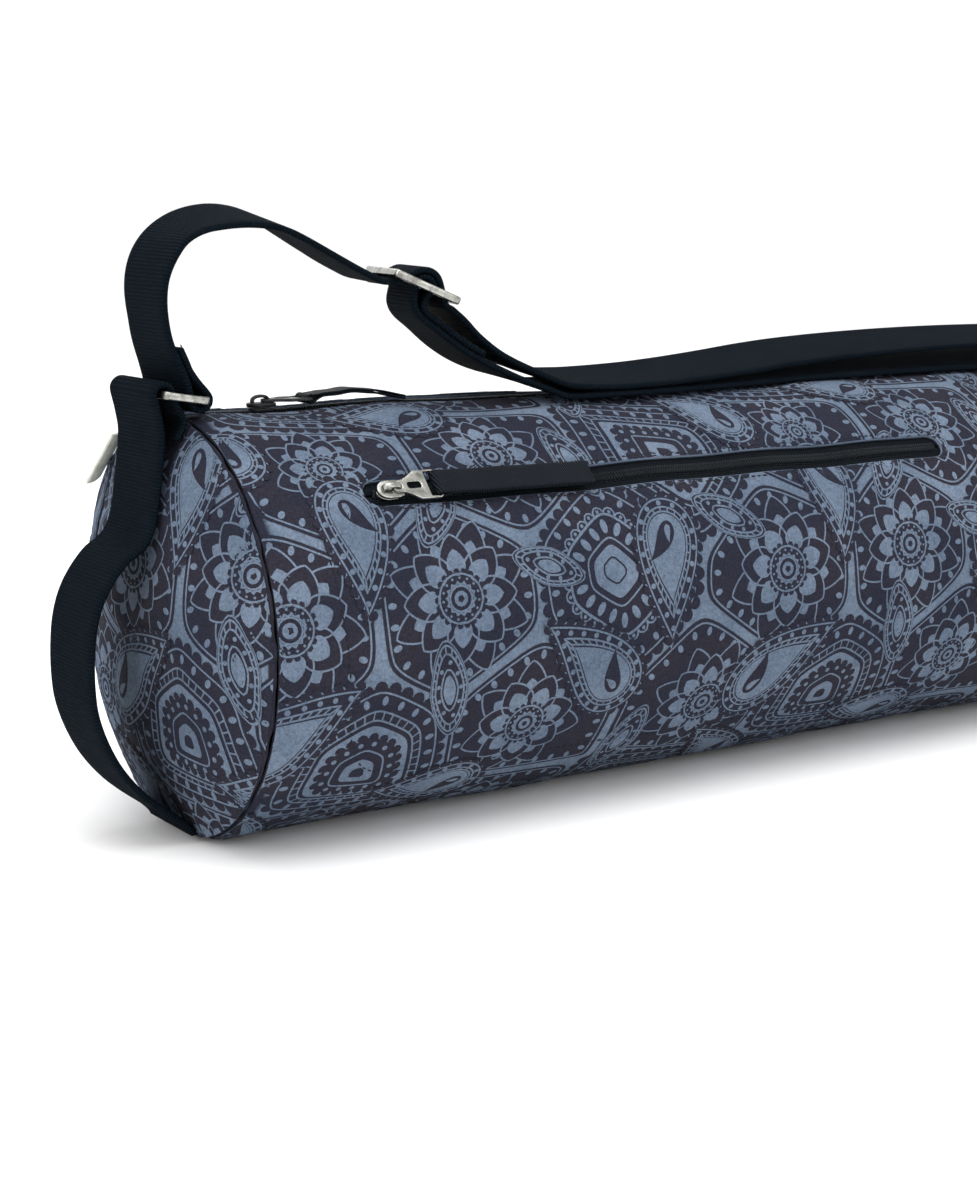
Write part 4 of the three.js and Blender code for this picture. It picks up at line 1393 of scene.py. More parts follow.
def lay_print(
    name: str, pad: InkPad, place: Callable, clip: Callable, keep: Callable, first_lift: float = 0.00014
) -> bpy.types.Object:
    """Lays marks on a cloth.

    Args:
        name: The piece's name.
        pad: The marks.
        place: Puts flat coordinates on the cloth, with a lift.
        clip: Moves corners back onto the cloth and says which were on it.
        keep: Says which corners this piece takes.
        first_lift: How far the lowest marks lie over the cloth.

    Returns:
        The marks as one mesh, with the ink attribute.
    """
    flat = np.concatenate(pad.corners)
    layers = np.concatenate(pad.layers)
    inks = np.concatenate(pad.inks)
    flat, on_cloth = clip(flat)
    own = keep(flat)
    faces = [f for f in pad.faces if own[f[0]] and (on_cloth[f[0]] or on_cloth[f[1]] or on_cloth[f[2]])]
    used = np.unique(np.concatenate([np.array(face) for face in faces]))
    fresh = np.zeros(len(flat), int)
    fresh[used] = np.arange(len(used))
    rank = np.unique(np.round(layers, 2), return_inverse=True)[1]
    lift = first_lift + min(0.000018, 0.0005 / rank.max()) * rank
    points = place(flat[used], lift[used])
    piece = solid(name, points, [tuple(fresh[list(face)]) for face in faces], flat[used])
    attribute = piece.data.attributes.new("ink", "FLOAT", "POINT")
    attribute.data.foreach_set("value", inks[used].astype(np.float32))
    return piece


# Cloth panels


def thick_cloth(
    name: str, corners: Point, faces: Sequence[tuple], normals: Point, thickness: float, flat: Point
) -> bpy.types.Object:
    """Makes a sheet of cloth with a thickness, joined round every open edge.

    Args:
        name: The piece's name.
        corners: Corners of its outer side.
        faces: The outer side's faces.
        normals: Outward directions of the corners.
        thickness: The cloth's thickness, taken inwards.
        flat: The corners' flat coordinates.

    Returns:
        The closed piece.
    """
    count = len(corners)
    directed = {(a, b) for face in faces for a, b in zip(face, face[1:] + face[:1])}
    rim = sorted((a, b) for a, b in directed if (b, a) not in directed)
    inner = [tuple(k + count for k in reversed(face)) for face in faces]
    sides = [(b, a, a + count, b + count) for a, b in rim]
    points = np.concatenate([corners, corners - normals * thickness])
    points[:, 2] = np.maximum(points[:, 2], 0.0)
    return solid(name, points, [*faces, *inner, *sides], np.concatenate([flat, flat]))


def spaced(low: float, high: float, step: float, at_low: Sequence = (), at_high: Sequence = ()) -> Point:
    """Returns lines from low to high, about a step apart and closer at the ends that ask for it."""
    first = [low, *(low + k for k in at_low)]
    last = [*(high - k for k in reversed(at_high)), high]
    count = max(1, round((last[0] - first[-1]) / step))
    return np.unique(np.round([*first, *np.linspace(first[-1], last[0], count + 1), *last], 7))


@dataclass
class BodyPanel:
    """The tube of printed canvas, open along its top for the zip and at the pocket's mouth."""

    form: BagForm
    step: float = 0.0031
    mouth_margin: float = 0.0046
    seam: float = 0.00015
    hem_drop: float = 0.0007
    hem_reach: float = 0.0017
    rim_steps: tuple = (0.0012, 0.0028, 0.0048, 0.0072, 0.01, 0.013, 0.016)
    hem_steps: tuple = (0.0007, 0.0017, 0.0032)

    @property
    def edge(self) -> float:
        """The arc from the bottom to the zip's opening."""
        return math.pi * self.form.radius - self.form.zip_opening / 2

    def hem(self, x: Point, arc: Point) -> Point:
        """Returns how far the cloth rolls under along the zip and round the pocket's mouth.

        Args:
            x: Places along the bag.
            arc: Arcs from the bottom.

        Returns:
            The depths.
        """
        form = self.form
        to_zip = self.edge - np.abs(arc)
        straight = (form.mouth_length - form.mouth_height) / 2
        beside = np.maximum(np.abs(x - form.mouth_middle) - straight, 0)
        to_mouth = np.hypot(beside, arc - form.mouth_arc) - form.mouth_height / 2
        near = np.maximum(np.minimum(to_zip, to_mouth), 0)
        return self.hem_drop * np.exp(-near / self.hem_reach)

    def skin(self, x: Point, arc: Point) -> Point:
        """Returns places on the outside of the panel."""
        return self.form.skin(x, arc / self.form.radius, self.hem(x, arc))

    def lines(self) -> tuple[Point, Point, tuple]:
        """Returns the grid's lines along and round the bag, and the box round the pocket's mouth."""
        form = self.form
        half = form.mouth_length / 2 + self.mouth_margin
        left, right = form.mouth_middle - half, form.mouth_middle + half
        low = form.mouth_arc - form.mouth_height / 2 - self.mouth_margin
        high = form.mouth_arc + form.mouth_height / 2 + self.mouth_margin
        start, end = form.left + self.seam, form.length / 2 - self.seam
        along = np.unique(np.concatenate([
            spaced(start, left, self.step, self.rim_steps),
            spaced(left, right, self.step),
            spaced(right, end, self.step, (), self.rim_steps),
        ]))
        around = np.unique(np.concatenate([
            spaced(-self.edge, low, self.step, self.hem_steps),
            spaced(low, high, self.step * 1.1),
            spaced(high, self.edge, self.step, (), self.hem_steps),
        ]))
        return along, around, (left, right, low, high)

    def grid(self) -> ClothGrid:
        """Returns the whole cloth as a grid, the pocket's mouth included.

        Returns:
            The grid.
        """
        along, around, _ = self.lines()
        x, arc = np.meshgrid(along, around, indexing="ij")
        return ClothGrid(along, around, self.skin(x, arc))

    def build(self, finishes: Finishes, grid: ClothGrid) -> bpy.types.Object:
        """Makes the panel with the mouth's hole in it.

        Args:
            finishes: The bag's finishes.
            grid: The panel's cloth.

        Returns:
            The dressed piece.
        """
        form = self.form
        along, around, (left, right, low, high) = self.lines()
        i0, i1 = np.argmin(np.abs(along - left)), np.argmin(np.abs(along - right))
        j0, j1 = np.argmin(np.abs(around - low)), np.argmin(np.abs(around - high))
        columns = len(around)
        faces = [
            face
            for index, face in enumerate(grid_faces(len(along), columns))
            if not (i0 <= index // (columns - 1) < i1 and j0 <= index % (columns - 1) < j1)
        ]
        loop = [(i, j0) for i in range(i0, i1)] + [(i1, j) for j in range(j0, j1)]
        loop += [(i, j1) for i in range(i1, i0, -1)] + [(i0, j) for j in range(j1, j0, -1)]
        outer = np.array([(along[i], around[j]) for i, j in loop])
        straight = (form.mouth_length - form.mouth_height) / 2
        middle = np.stack([
            form.mouth_middle + np.clip(outer[:, 0] - form.mouth_middle, -straight, straight),
            np.full(len(outer), form.mouth_arc),
        ], axis=1)
        rim = middle + unit(outer - middle) * form.mouth_height / 2
        x, arc = np.meshgrid(along, around, indexing="ij")
        flat = [np.stack([x.ravel(), arc.ravel()], axis=1)]
        ring = [i * columns + j for i, j in loop]
        count = len(flat[0])
        for share in (0.62, 0.34, 0.14, 0.0):
            flat.append(rim + (outer - rim) * share)
            inner = list(range(count, count + len(loop)))
            for k in range(len(loop)):
                m = (k + 1) % len(loop)
                faces.append((ring[k], ring[m], inner[m], inner[k]))
            ring, count = inner, count + len(loop)
        flat = np.concatenate(flat)
        corners = self.skin(flat[:, 0], flat[:, 1])
        normals = unit(grid.at(flat[:, 0], flat[:, 1], 1.0) - grid.at(flat[:, 0], flat[:, 1], 0.0))
        piece = thick_cloth("body_canvas", corners, faces, normals, form.cloth, flat)
        bmesh_clean(piece)
        full_ink(piece, lambda flat: np.abs(flat[:, 0]) < form.length / 2 - 0.0032)
        return dress(piece, finishes.canvas, Slot.CANVAS, "body_panel")

    def clip(self, flat: Point) -> tuple[Point, Point]:
        """Moves marks back onto the cloth and says which of their corners lay on it.

        Args:
            flat: Flat coordinates.

        Returns:
            The moved coordinates and the flags.
        """
        form = self.form
        x = np.clip(flat[:, 0], form.left + 0.0002, form.length / 2 - 0.0002)
        arc = np.clip(flat[:, 1], -self.edge + 0.0003, self.edge - 0.0003)
        straight = (form.mouth_length - form.mouth_height) / 2
        middle = form.mouth_middle + np.clip(x - form.mouth_middle, -straight, straight)
        dx, dy = x - middle, arc - form.mouth_arc
        dy = np.where(np.hypot(dx, dy) < 1e-6, 1e-6, dy)
        reach = np.maximum(np.hypot(dx, dy), form.mouth_height / 2 + 0.0003) / np.hypot(dx, dy)
        placed = np.stack([middle + dx * reach, form.mouth_arc + dy * reach], axis=1)
        return placed, np.abs(placed - flat).max(axis=1) < 1e-6

    def place(self, flat: Point, lift: Point) -> Point:
        """Returns the points of flat coordinates, lifted off the panel."""
        depth = self.hem(flat[:, 0], flat[:, 1]) - lift
        return self.form.skin(flat[:, 0], flat[:, 1] / self.form.radius, depth)

    def print_on(self, finishes: Finishes) -> list[bpy.types.Object]:
        """Lays the print on the panel, in lengthwise strips.

        Args:
            finishes: The bag's finishes.

        Returns:
            The dressed pieces.
        """
        pad = PaisleyPrint().marks((-1.78, -1.69), 4, 4)
        bands = np.linspace(-self.edge - 0.001, self.edge + 0.001, 9)
        parts = [(str(k + 1), bands[k], bands[k + 1]) for k in range(8)]
        pieces = []
        for name, low, high in parts:
            keep = lambda flat, low=low, high=high: (flat[:, 1] >= low) & (flat[:, 1] < high)
            piece = lay_print("body_print_" + name, pad, self.place, self.clip, keep)
            pieces.append(dress(piece, finishes.canvas, Slot.CANVAS))
        return pieces


def full_ink(piece: bpy.types.Object, printed: Callable) -> None:
    """Prints the outer side of a cloth, as the ground that the print's dark beds lie on.

    Args:
        piece: The thick cloth, its outer corners first, with the flat coordinates.
        printed: Says from flat coordinates which corners are printed.
    """
    count = len(piece.data.vertices)
    flat = np.zeros((count, 2))
    loops = np.zeros(len(piece.data.loops), int)
    piece.data.loops.foreach_get("vertex_index", loops)
    spread = np.zeros(len(loops) * 2, np.float32)
    piece.data.uv_layers["cloth"].data.foreach_get("uv", spread)
    flat[loops] = spread.reshape(-1, 2)
    outer = np.arange(count) < count / 2
    attribute = piece.data.attributes.new("ink", "FLOAT", "POINT")
    attribute.data.foreach_set("value", (outer & printed(flat)).astype(np.float32))


def bmesh_clean(piece: bpy.types.Object) -> None:
    """Removes a piece's doubled corners and the faces that they leave without area.

    Args:
        piece: The piece.
    """
    shape = bmesh.new()
    shape.from_mesh(piece.data)
    bmesh.ops.dissolve_degenerate(shape, dist=1e-7, edges=shape.edges)
    shape.to_mesh(piece.data)
    shape.free()


def band(
    name: str, form: BagForm, along: Point, around: Point, depth: float, thickness: float
) -> bpy.types.Object:
    """Makes a band of cloth that follows the bag at a depth.

    Args:
        name: The piece's name.
        form: The bag's form.
        along: Lines along the bag.
        around: Lines round it, as arcs from the bottom.
        depth: The depth of its outer side.
        thickness: Its thickness.

    Returns:
        The piece.
    """
    x, arc = np.meshgrid(along, around, indexing="ij")
    grid = ClothGrid(along, around, form.skin(x, arc / form.radius, depth))
    flat = np.stack([x.ravel(), arc.ravel()], axis=1)
    faces = grid_faces(len(along), len(around))
    return thick_cloth(name, grid.points.reshape(-1, 3), faces, grid.normals.reshape(-1, 3), thickness, flat)


@dataclass
class EndPanel:
    """A round end of printed canvas, pushed out by the mat inside."""

    form: BagForm
    side: Side
    rings: int = 60
    columns: int = 240
    seam: float = 0.00015
    pucker: float = 0.00055

    def grid(self) -> DomeGrid:
        """Returns the panel's cloth as a grid from its middle to its rim.

        Returns:
            The grid.
        """
        form = self.form
        share = 1 - (1 - np.linspace(0, 1, self.rings)) ** 1.35
        turn = np.linspace(0, 2 * math.pi, self.columns + 1)
        s, t = np.meshgrid(share, turn, indexing="ij")
        rim = form.skin(np.full_like(t, form.left), t, 0.0)
        gathers = np.sin(23 * t) + 0.7 * np.sin(37 * t + 1.3) + 0.5 * np.sin(51 * t + 4.0)
        creases = self.pucker * gathers * np.exp(-(1 - s) * form.radius / 0.007) * np.clip((1 - s) * 30, 0, 1)
        waves = 0.0009 * np.sin(3 * t + 5 * s + 0.4) * np.sin(math.pi * s)
        waves = waves + 0.0006 * np.sin(5 * t - 9 * s) * s * (1 - s) * 3
        out = self.seam + form.cloth + form.stands(s) - 0.0004 * np.clip((1 - s) * 20, 0, 1) + creases + waves
        x = (form.left - out) * self.side.value
        y = rim[..., 1] * s
        z = form.radius + (rim[..., 2] - form.radius) * s
        return DomeGrid(share * form.radius, turn, np.stack([x, y, z], axis=-1), self.side.value)

    def build(self, finishes: Finishes, grid: DomeGrid) -> bpy.types.Object:
        """Makes the panel and the part of the print that lies on it."""
        points, normals = grid.points[1:, :-1], grid.normals[1:, :-1]
        count = self.columns
        corners = np.concatenate([points.reshape(-1, 3), grid.points[:1, 0]])
        outward = np.concatenate([normals.reshape(-1, 3), [[-self.side.value, 0, 0]]])
        faces = grid_faces(self.rings - 1, count, True)
        tip = len(corners) - 1
        faces += [(tip, j, (j + 1) % count) for j in range(count)]
        if self.side is Side.RIGHT:
            faces = [tuple(reversed(face)) for face in faces]
        r, t = np.meshgrid(grid.first[1:], grid.second[:-1], indexing="ij")
        flat = np.stack([(r * np.sin(t)).ravel(), (-r * np.cos(t)).ravel()], axis=1)
        flat = np.concatenate([flat, [[0, 0]]])
        name = "end_canvas_" + self.side.name.lower()
        piece = thick_cloth(name, corners, faces, outward, self.form.cloth, flat)
        full_ink(piece, lambda flat: np.linalg.norm(flat, axis=1) < self.form.radius - 0.0026)
        return dress(piece, finishes.canvas, Slot.CANVAS, "end_panel_" + self.side.name.lower())

    def clip(self, flat: Point) -> tuple[Point, Point]:
        """Moves marks back inside the rim and says which of their corners lay inside it.

        Args:
            flat: Flat coordinates.

        Returns:
            The moved coordinates and the flags.
        """
        reach = np.linalg.norm(flat, axis=1)
        limit = self.form.radius - 0.0002
        placed = flat * np.minimum(1, limit / np.maximum(reach, 1e-9))[:, None]
        return placed, reach < limit

    def print_on(self, finishes: Finishes, grid: DomeGrid) -> bpy.types.Object:
        """Lays the allover print on the panel, cut from the same cloth as the tube.

        Args:
            finishes: The bag's finishes.
            grid: The panel's cloth.

        Returns:
            The dressed piece.
        """
        pad = PaisleyPrint().marks((-1.3, -1.35), 2, 2)
        if self.side is Side.RIGHT:
            pad.faces = [tuple(reversed(face)) for face in pad.faces]
        everywhere = lambda flat: np.ones(len(flat), bool)
        name = "end_print_" + self.side.name.lower()
        piece = lay_print(name, pad, grid.place, self.clip, everywhere)
        return dress(piece, finishes.canvas, Slot.CANVAS)


# Stitches and coils


class RowTree:
    """Geometry nodes that set small rounded pieces in a row along a path."""

    def __init__(self) -> None:
        """Builds the tree once."""
        tree = bpy.data.node_groups.new("row_along_path", "GeometryNodeTree")
        self.tree = tree
        self.ids: dict[str, str] = {}
        face = tree.interface
        face.new_socket("Path", in_out="INPUT", socket_type="NodeSocketGeometry")
        face.new_socket("Row", in_out="OUTPUT", socket_type="NodeSocketGeometry")
        for name in ("Pitch", "Length", "Width", "Height", "Turn", "Unevenness"):
            self.ids[name] = face.new_socket(name, in_out="INPUT", socket_type="NodeSocketFloat").identifier
        self.ids["Seed"] = face.new_socket("Seed", in_out="INPUT", socket_type="NodeSocketInt").identifier
        self.ids["Finish"] = face.new_socket("Finish", in_out="INPUT", socket_type="NodeSocketMaterial").identifier
        given = tree.nodes.new("NodeGroupInput").outputs
        result = tree.nodes.new("NodeGroupOutput").inputs["Row"]
        curve = self.add("GeometryNodeMeshToCurve", {"Mesh": given["Path"]})
        spacing = {"Curve": curve.outputs[0], "Length": given["Pitch"]}
        even = self.add("GeometryNodeResampleCurve", spacing, mode="LENGTH")
        tangent = self.add("GeometryNodeInputTangent", {})
        up = self.add("GeometryNodeInputNamedAttribute", {"Name": "up"}, data_type="FLOAT_VECTOR")
        first = self.add("FunctionNodeAlignRotationToVector", {"Vector": tangent.outputs[0]}, axis="X")
        second = self.add(
            "FunctionNodeAlignRotationToVector",
            {"Rotation": first.outputs[0], "Vector": up.outputs[0]},
            axis="Z",
            pivot_axis="X",
        )
        slant = self.add("FunctionNodeAxisAngleToRotation", {"Axis": (0, 0, 1), "Angle": given["Turn"]})
        turned = self.add(
            "FunctionNodeRotateRotation",
            {"Rotation": second.outputs[0], "Rotate By": slant.outputs[0]},
            rotation_space="LOCAL",
        )
        low = self.add("ShaderNodeMath", {0: 1.0, 1: given["Unevenness"]}, operation="SUBTRACT")
        high = self.add("ShaderNodeMath", {0: 1.0, 1: given["Unevenness"]}, operation="ADD")
        vary = self.add("FunctionNodeRandomValue", {"Seed": given["Seed"]}, data_type="FLOAT")
        floats = [s for s in vary.inputs if s.type == "VALUE" and s.name in ("Min", "Max")]
        tree.links.new(low.outputs[0], floats[0])
        tree.links.new(high.outputs[0], floats[1])
        amount = next(s for s in vary.outputs if s.type == "VALUE")
        size = self.add("ShaderNodeCombineXYZ", {0: given["Length"], 1: given["Width"], 2: given["Height"]})
        varied = self.add("ShaderNodeVectorMath", {0: size.outputs[0]}, operation="SCALE")
        tree.links.new(amount, varied.inputs["Scale"])
        bead = self.add("GeometryNodeMeshUVSphere", {"Segments": 7, "Rings": 5, "Radius": 0.5})
        smooth = self.add("GeometryNodeSetShadeSmooth", {0: bead.outputs[0]})
        row = self.add(
            "GeometryNodeInstanceOnPoints",
            {
                "Points": even.outputs[0],
                "Instance": smooth.outputs[0],
                "Rotation": turned.outputs[0],
                "Scale": varied.outputs[0],
            },
        )
        real = self.add("GeometryNodeRealizeInstances", {0: row.outputs[0]})
        finish = self.add("GeometryNodeSetMaterial", {"Geometry": real.outputs[0], "Material": given["Finish"]})
        tree.links.new(finish.outputs[0], result)

    def add(self, kind: str, inputs: dict, **settings: object) -> bpy.types.Node:
        """Adds a node with its settings and its inputs, which are values or sockets."""
        node = self.tree.nodes.new(kind)
        for key, value in settings.items():
            setattr(node, key, value)
        for key, value in inputs.items():
            if isinstance(value, bpy.types.NodeSocket):
                self.tree.links.new(value, node.inputs[key])
            else:
                node.inputs[key].default_value = value
        return node

    def row(
        self,
        name: str,
        lines: Sequence[tuple[Point, Point]],
        size: tuple[float, float, float],
        pitch: float,
        finish: bpy.types.Material,
        turn: float = 0.0,
        uneven: float = 0.12,
        seed: int = 1,
    ) -> bpy.types.Object:
        """Makes rows along lines.

        Args:
            name: The piece's name.
            lines: For each line its points and their outward directions.
            size: Length, width and height of one small piece.
            pitch: The distance between them.
            finish: Their material.
            turn: How far each is turned on the cloth, in degrees.
            uneven: How much their sizes vary.
            seed: Seed of that variation.

        Returns:
            The rows as one plain mesh.
        """
        corners = np.concatenate([points for points, _ in lines])
        edges, first = [], 0
        for points, _ in lines:
            edges += [(first + k, first + k + 1) for k in range(len(points) - 1)]
            first += len(points)
        mesh = bpy.data.meshes.new(name + "_path")
        mesh.from_pydata([tuple(c) for c in corners], edges, [])
        up = mesh.attributes.new("up", "FLOAT_VECTOR", "POINT")
        up.data.foreach_set("vector", np.concatenate([ups for _, ups in lines]).astype(np.float32).ravel())
        source = bpy.data.objects.new(name + "_path", mesh)
        bpy.context.scene.collection.objects.link(source)
        modifier = source.modifiers.new("row", "NODES")
        modifier.node_group = self.tree
        values = {
            "Pitch": pitch, "Length": size[0], "Width": size[1], "Height": size[2],
            "Turn": math.radians(turn), "Unevenness": uneven, "Seed": seed, "Finish": finish,
        }
        for key, value in values.items():
            modifier[self.ids[key]] = value
        return finished_mesh(name, source)


# Zips


@dataclass
class Zip:
    """A zip in an opening of the bag: two tapes, the coil between them, and its seam stitches."""

    form: BagForm
    name: str
    angle: float
    opening: float
    tape_ends: tuple[float, float]
    coil_ends: tuple[float, float]
    tape_depth: float = 0.0021
    parting: float = 0.0008
    coil_pitch: float = 0.00125
    coil_depth: float = 0.0012
    tooth: tuple = (0.00075, 0.0026, 0.0011)

    @property
    def arc(self) -> float:
        """The zip's place round the bag, as an arc from the bottom."""
        return self.form.arc(self.angle)

    def line(self, offset: float, depth: float, ends: tuple[float, float]) -> tuple[Point, Point]:
        """Returns a line that runs beside the zip and the directions out of the cloth along it.

        Args:
            offset: Its distance from the zip's middle.
            depth: Its depth.
            ends: Its ends along the bag.

        Returns:
            The points and the directions.
        """
        x = np.linspace(*ends, max(8, round((ends[1] - ends[0]) / 0.003)))
        turn = np.full_like(x, (self.arc + offset) / self.form.radius)
        points = self.form.skin(x, turn, depth)
        out = unit(self.form.skin(x, turn, depth - 0.001) - points)
        return points, out

    def build(self, finishes: Finishes, rows: RowTree) -> list[bpy.types.Object]:
        """Makes the tapes and the coil.

        Args:
            finishes: The bag's finishes.
            rows: The tree that makes rows.

        Returns:
            The dressed pieces.
        """
        form = self.form
        along = spaced(*self.tape_ends, 0.004)
        half = self.opening / 2 + form.tape_overlap
        pieces = []
        for node, low, high in (
            ("front", self.arc - half, self.arc - self.parting / 2),
            ("back", self.arc + self.parting / 2, self.arc + half),
        ):
            around = np.linspace(low, high, 8)
            piece = band(f"{self.name}_{node}_tape", form, along, around, self.tape_depth, form.tape * 0.8)
            pieces.append(dress(piece, finishes.tape, Slot.TAPE, f"{self.name}_tape_{node}"))
        lines = [self.line(-0.00085, self.coil_depth, self.coil_ends)]
        start = self.coil_ends[0] + self.coil_pitch / 2
        lines.append(self.line(0.00085, self.coil_depth, (start, self.coil_ends[1])))
        coil = rows.row(f"{self.name}_teeth", lines, self.tooth, self.coil_pitch, finishes.coil, 8, 0.05)
        pieces.append(dress(coil, finishes.coil, Slot.COIL, f"{self.name}_coil"))
        cord_lines = [self.line(side * 0.0021, self.tape_depth - 0.0002, self.coil_ends) for side in (-1, 1)]
        seam = rows.row(f"{self.name}_coil_thread", cord_lines, (0.0017, 0.00055, 0.0005), 0.0021, finishes.thread)
        pieces.append(dress(seam, finishes.thread, Slot.TAPE))
        return pieces


def plate(name: str, outlines: Sequence[Sequence], thickness: float, bevel: float, place: Matrix) -> bpy.types.Object:
    """Makes a flat plate with holes and rounded edges.

    Args:
        name: The piece's name.
        outlines: Its outline and those of its holes, in its own XY plane.
        thickness: Its thickness, centred on that plane.
        bevel: The radius of its edges.
        place: Where it lies.

    Returns:
        The piece.
    """
    curve = bpy.data.curves.new(name, "CURVE")
    curve.dimensions = "2D"
    curve.fill_mode = "BOTH"
    curve.extrude = thickness / 2 - bevel
    curve.bevel_depth = bevel
    curve.bevel_resolution = 3
    curve.offset = -bevel
    for outline in outlines:
        spline = curve.splines.new("POLY")
        spline.points.add(len(outline) - 1)
        for point, (x, y) in zip(spline.points, outline):
            point.co = (x, y, 0, 1)
        spline.use_cyclic_u = True
    source = bpy.data.objects.new(name, curve)
    bpy.context.scene.collection.objects.link(source)
    bpy.context.view_layer.update()
    piece = finished_mesh(name, source)
    shape = bmesh.new()
    shape.from_mesh(piece.data)
    bmesh.ops.remove_doubles(shape, verts=shape.verts, dist=1e-6)
    shape.to_mesh(piece.data)
    shape.free()
    piece.data.transform(place)
    face_out(piece)
    piece.data.set_sharp_from_angle(angle=math.radians(32))
    return piece


def rounded_box(half_x: float, half_y: float, radius: float, middle_x: float = 0.0, steps: int = 6) -> list[tuple]:
    """Returns a rectangle's outline with round corners.

    Args:
        half_x: Half its length.
        half_y: Half its width.
        radius: The corners' radius.
        middle_x: Its middle.
        steps: Steps round a corner.

    Returns:
        The outline.
    """
    points = []
    for sx, sy, start in ((1, 1, 0), (-1, 1, 90), (-1, -1, 180), (1, -1, 270)):
        for k in range(steps + 1):
            turn = math.radians(start + 90 * k / steps)
            x = sx * (half_x - radius) + radius * math.cos(turn)
            y = sy * (half_y - radius) + radius * math.sin(turn)
            points.append((middle_x + x, y))
    return points


@dataclass
class ZipPull:
    """A zip's slider with its bail, its tapered pull and the ribbon on it."""

    form: BagForm
    name: str
    x: float
    angle: float
    ribbon_length: float
    ribbon_arch: float
    metal: str
    slot: Slot
    length: float = 0.011
    half_width: float = 0.0038
    plate: float = 0.0016
    bail_rise: float = 0.0027
    bail_wire: float = 0.0012
    bail_foot: float = 0.003
    pull_length: float = 0.017
    pull_narrow: float = 0.005
    pull_taper: float = 0.0076
    pull_plate: float = 0.0012
    ribbon_width: float = 0.010
    ribbon: float = 0.0008

    @property
    def place(self) -> Matrix:
        """The frame of the cloth under the slider."""
        return self.form.frame_at(self.x, self.angle)

    @property
    def on_pull(self) -> Matrix:
        """The frame of the pull, at the bail's far foot."""
        return self.place @ Matrix.Translation((self.bail_foot, 0, 0))

    @property
    def pull_height(self) -> float:
        """The underside of the pull over the cloth."""
        return 0.0015 + 0.0006

    def body_outline(self, grow: float = 0.0) -> list[tuple]:
        """Returns the slider's outline: a rounded shield, its nose to the left.

        Args:
            grow: How much larger it is all round.

        Returns:
            The outline.
        """
        half, wide = self.length / 2 + grow, self.half_width + grow
        points = []
        for k in range(25):
            turn = math.radians(90 + 180 * k / 24)
            points.append((-half + 0.0046 + 0.0046 * math.cos(turn), wide * math.sin(turn)))
        points += [(half * 0.5, -wide * 0.98), (half * 0.85, -wide * 0.86), (half, -wide * 0.66)]
        points += [(half, wide * 0.66), (half * 0.85, wide * 0.86), (half * 0.5, wide * 0.98)]
        return points

    def build(self, finishes: Finishes) -> list[bpy.types.Object]:
        """Makes the slider, its pull and the ribbon.

        Args:
            finishes: The bag's finishes.

        Returns:
            The dressed pieces.
        """
        finish = getattr(finishes, self.metal)
        top = self.place @ Matrix.Translation((0, 0, 0.0004 + self.plate / 2))
        under = self.place @ Matrix.Translation((0, 0, -0.0007))
        parts = [
            plate(self.name + "_top", [self.body_outline()], self.plate, 0.0005, top),
            plate(self.name + "_under", [self.body_outline(-0.0004)], 0.0014, 0.0003, under),
            self.bail(),
        ]
        slider = dress(joined(self.name + "_runner", parts), finish, self.slot, self.name + "_slider")
        pull = dress(self.pull(), finish, self.slot, self.name + "_pull")
        tape = dress(self.tape(), finishes.ribbon, Slot.RIBBON, self.name + "_ribbon")
        return [slider, pull, tape]

    def bail(self) -> bpy.types.Object:
        """Makes the arch that holds the pull.

        Returns:
            The piece.
        """
        foot, side, top = 0.0013, 0.0015 + self.bail_rise * 0.6, 0.0015 + self.bail_rise
        spread = self.bail_foot
        points = [
            (-spread * 1.08, 0, foot), (-spread * 1.08, 0, side), (-spread * 0.6, 0, top),
            (spread * 0.6, 0, top), (spread * 1.08, 0, side), (spread * 1.08, 0, foot),
        ]
        path = smooth_line(points, 30)
        path = np.array([self.place @ Vector(p) for p in path])
        side_way = np.tile(np.array(self.place.to_3x3() @ Vector((0, 1, 0))), (len(path), 1))
        section = rounded_section(0.0024, self.bail_wire, 4, 2)
        return sweep(self.name + "_bail", path, side_way, section)

    def pull(self) -> bpy.types.Object:
        """Makes the tapered plate with its eye and the window that the ribbon runs through.

        Returns:
            The piece.
        """
        wide = self.ribbon_width / 2 + self.bail_wire
        narrow = self.pull_narrow / 2
        corner = 0.0012
        outline = [(-narrow * math.sin(t) * 1.0, -narrow * math.cos(t)) for t in np.linspace(0, math.pi, 13)]
        outline += [
            (0.0015, narrow * 1.02), (self.pull_taper * 0.55, narrow + (wide - narrow) * 0.35),
            (self.pull_taper, wide * 0.98), (self.pull_length - corner, wide),
            (self.pull_length - 0.35 * corner, wide - 0.35 * corner),
            (self.pull_length, wide - corner), (self.pull_length, corner - wide),
            (self.pull_length - 0.35 * corner, 0.35 * corner - wide), (self.pull_length - corner, -wide),
            (self.pull_taper, -wide * 0.98), (self.pull_taper * 0.55, -narrow - (wide - narrow) * 0.35),
            (0.0015, -narrow * 1.02),
        ]
        eye = [(0.0012 * math.cos(t), 0.0012 * math.sin(t)) for t in np.linspace(0, 2 * math.pi, 17)[:-1]]
        slot = 2 * self.ribbon + 0.0022
        middle = self.pull_length - self.bail_wire - slot / 2
        window = rounded_box(slot / 2, self.ribbon_width / 2 + 0.0003, 0.0005, middle, 3)
        hole = rounded_box(0.0029, 0.0014, 0.001, 0.0064, 3)
        place = self.on_pull @ Matrix.Translation((0, 0, self.pull_height + self.pull_plate / 2))
        return plate(self.name + "_plate", [outline, eye, hole, window], self.pull_plate, 0.0003, place)

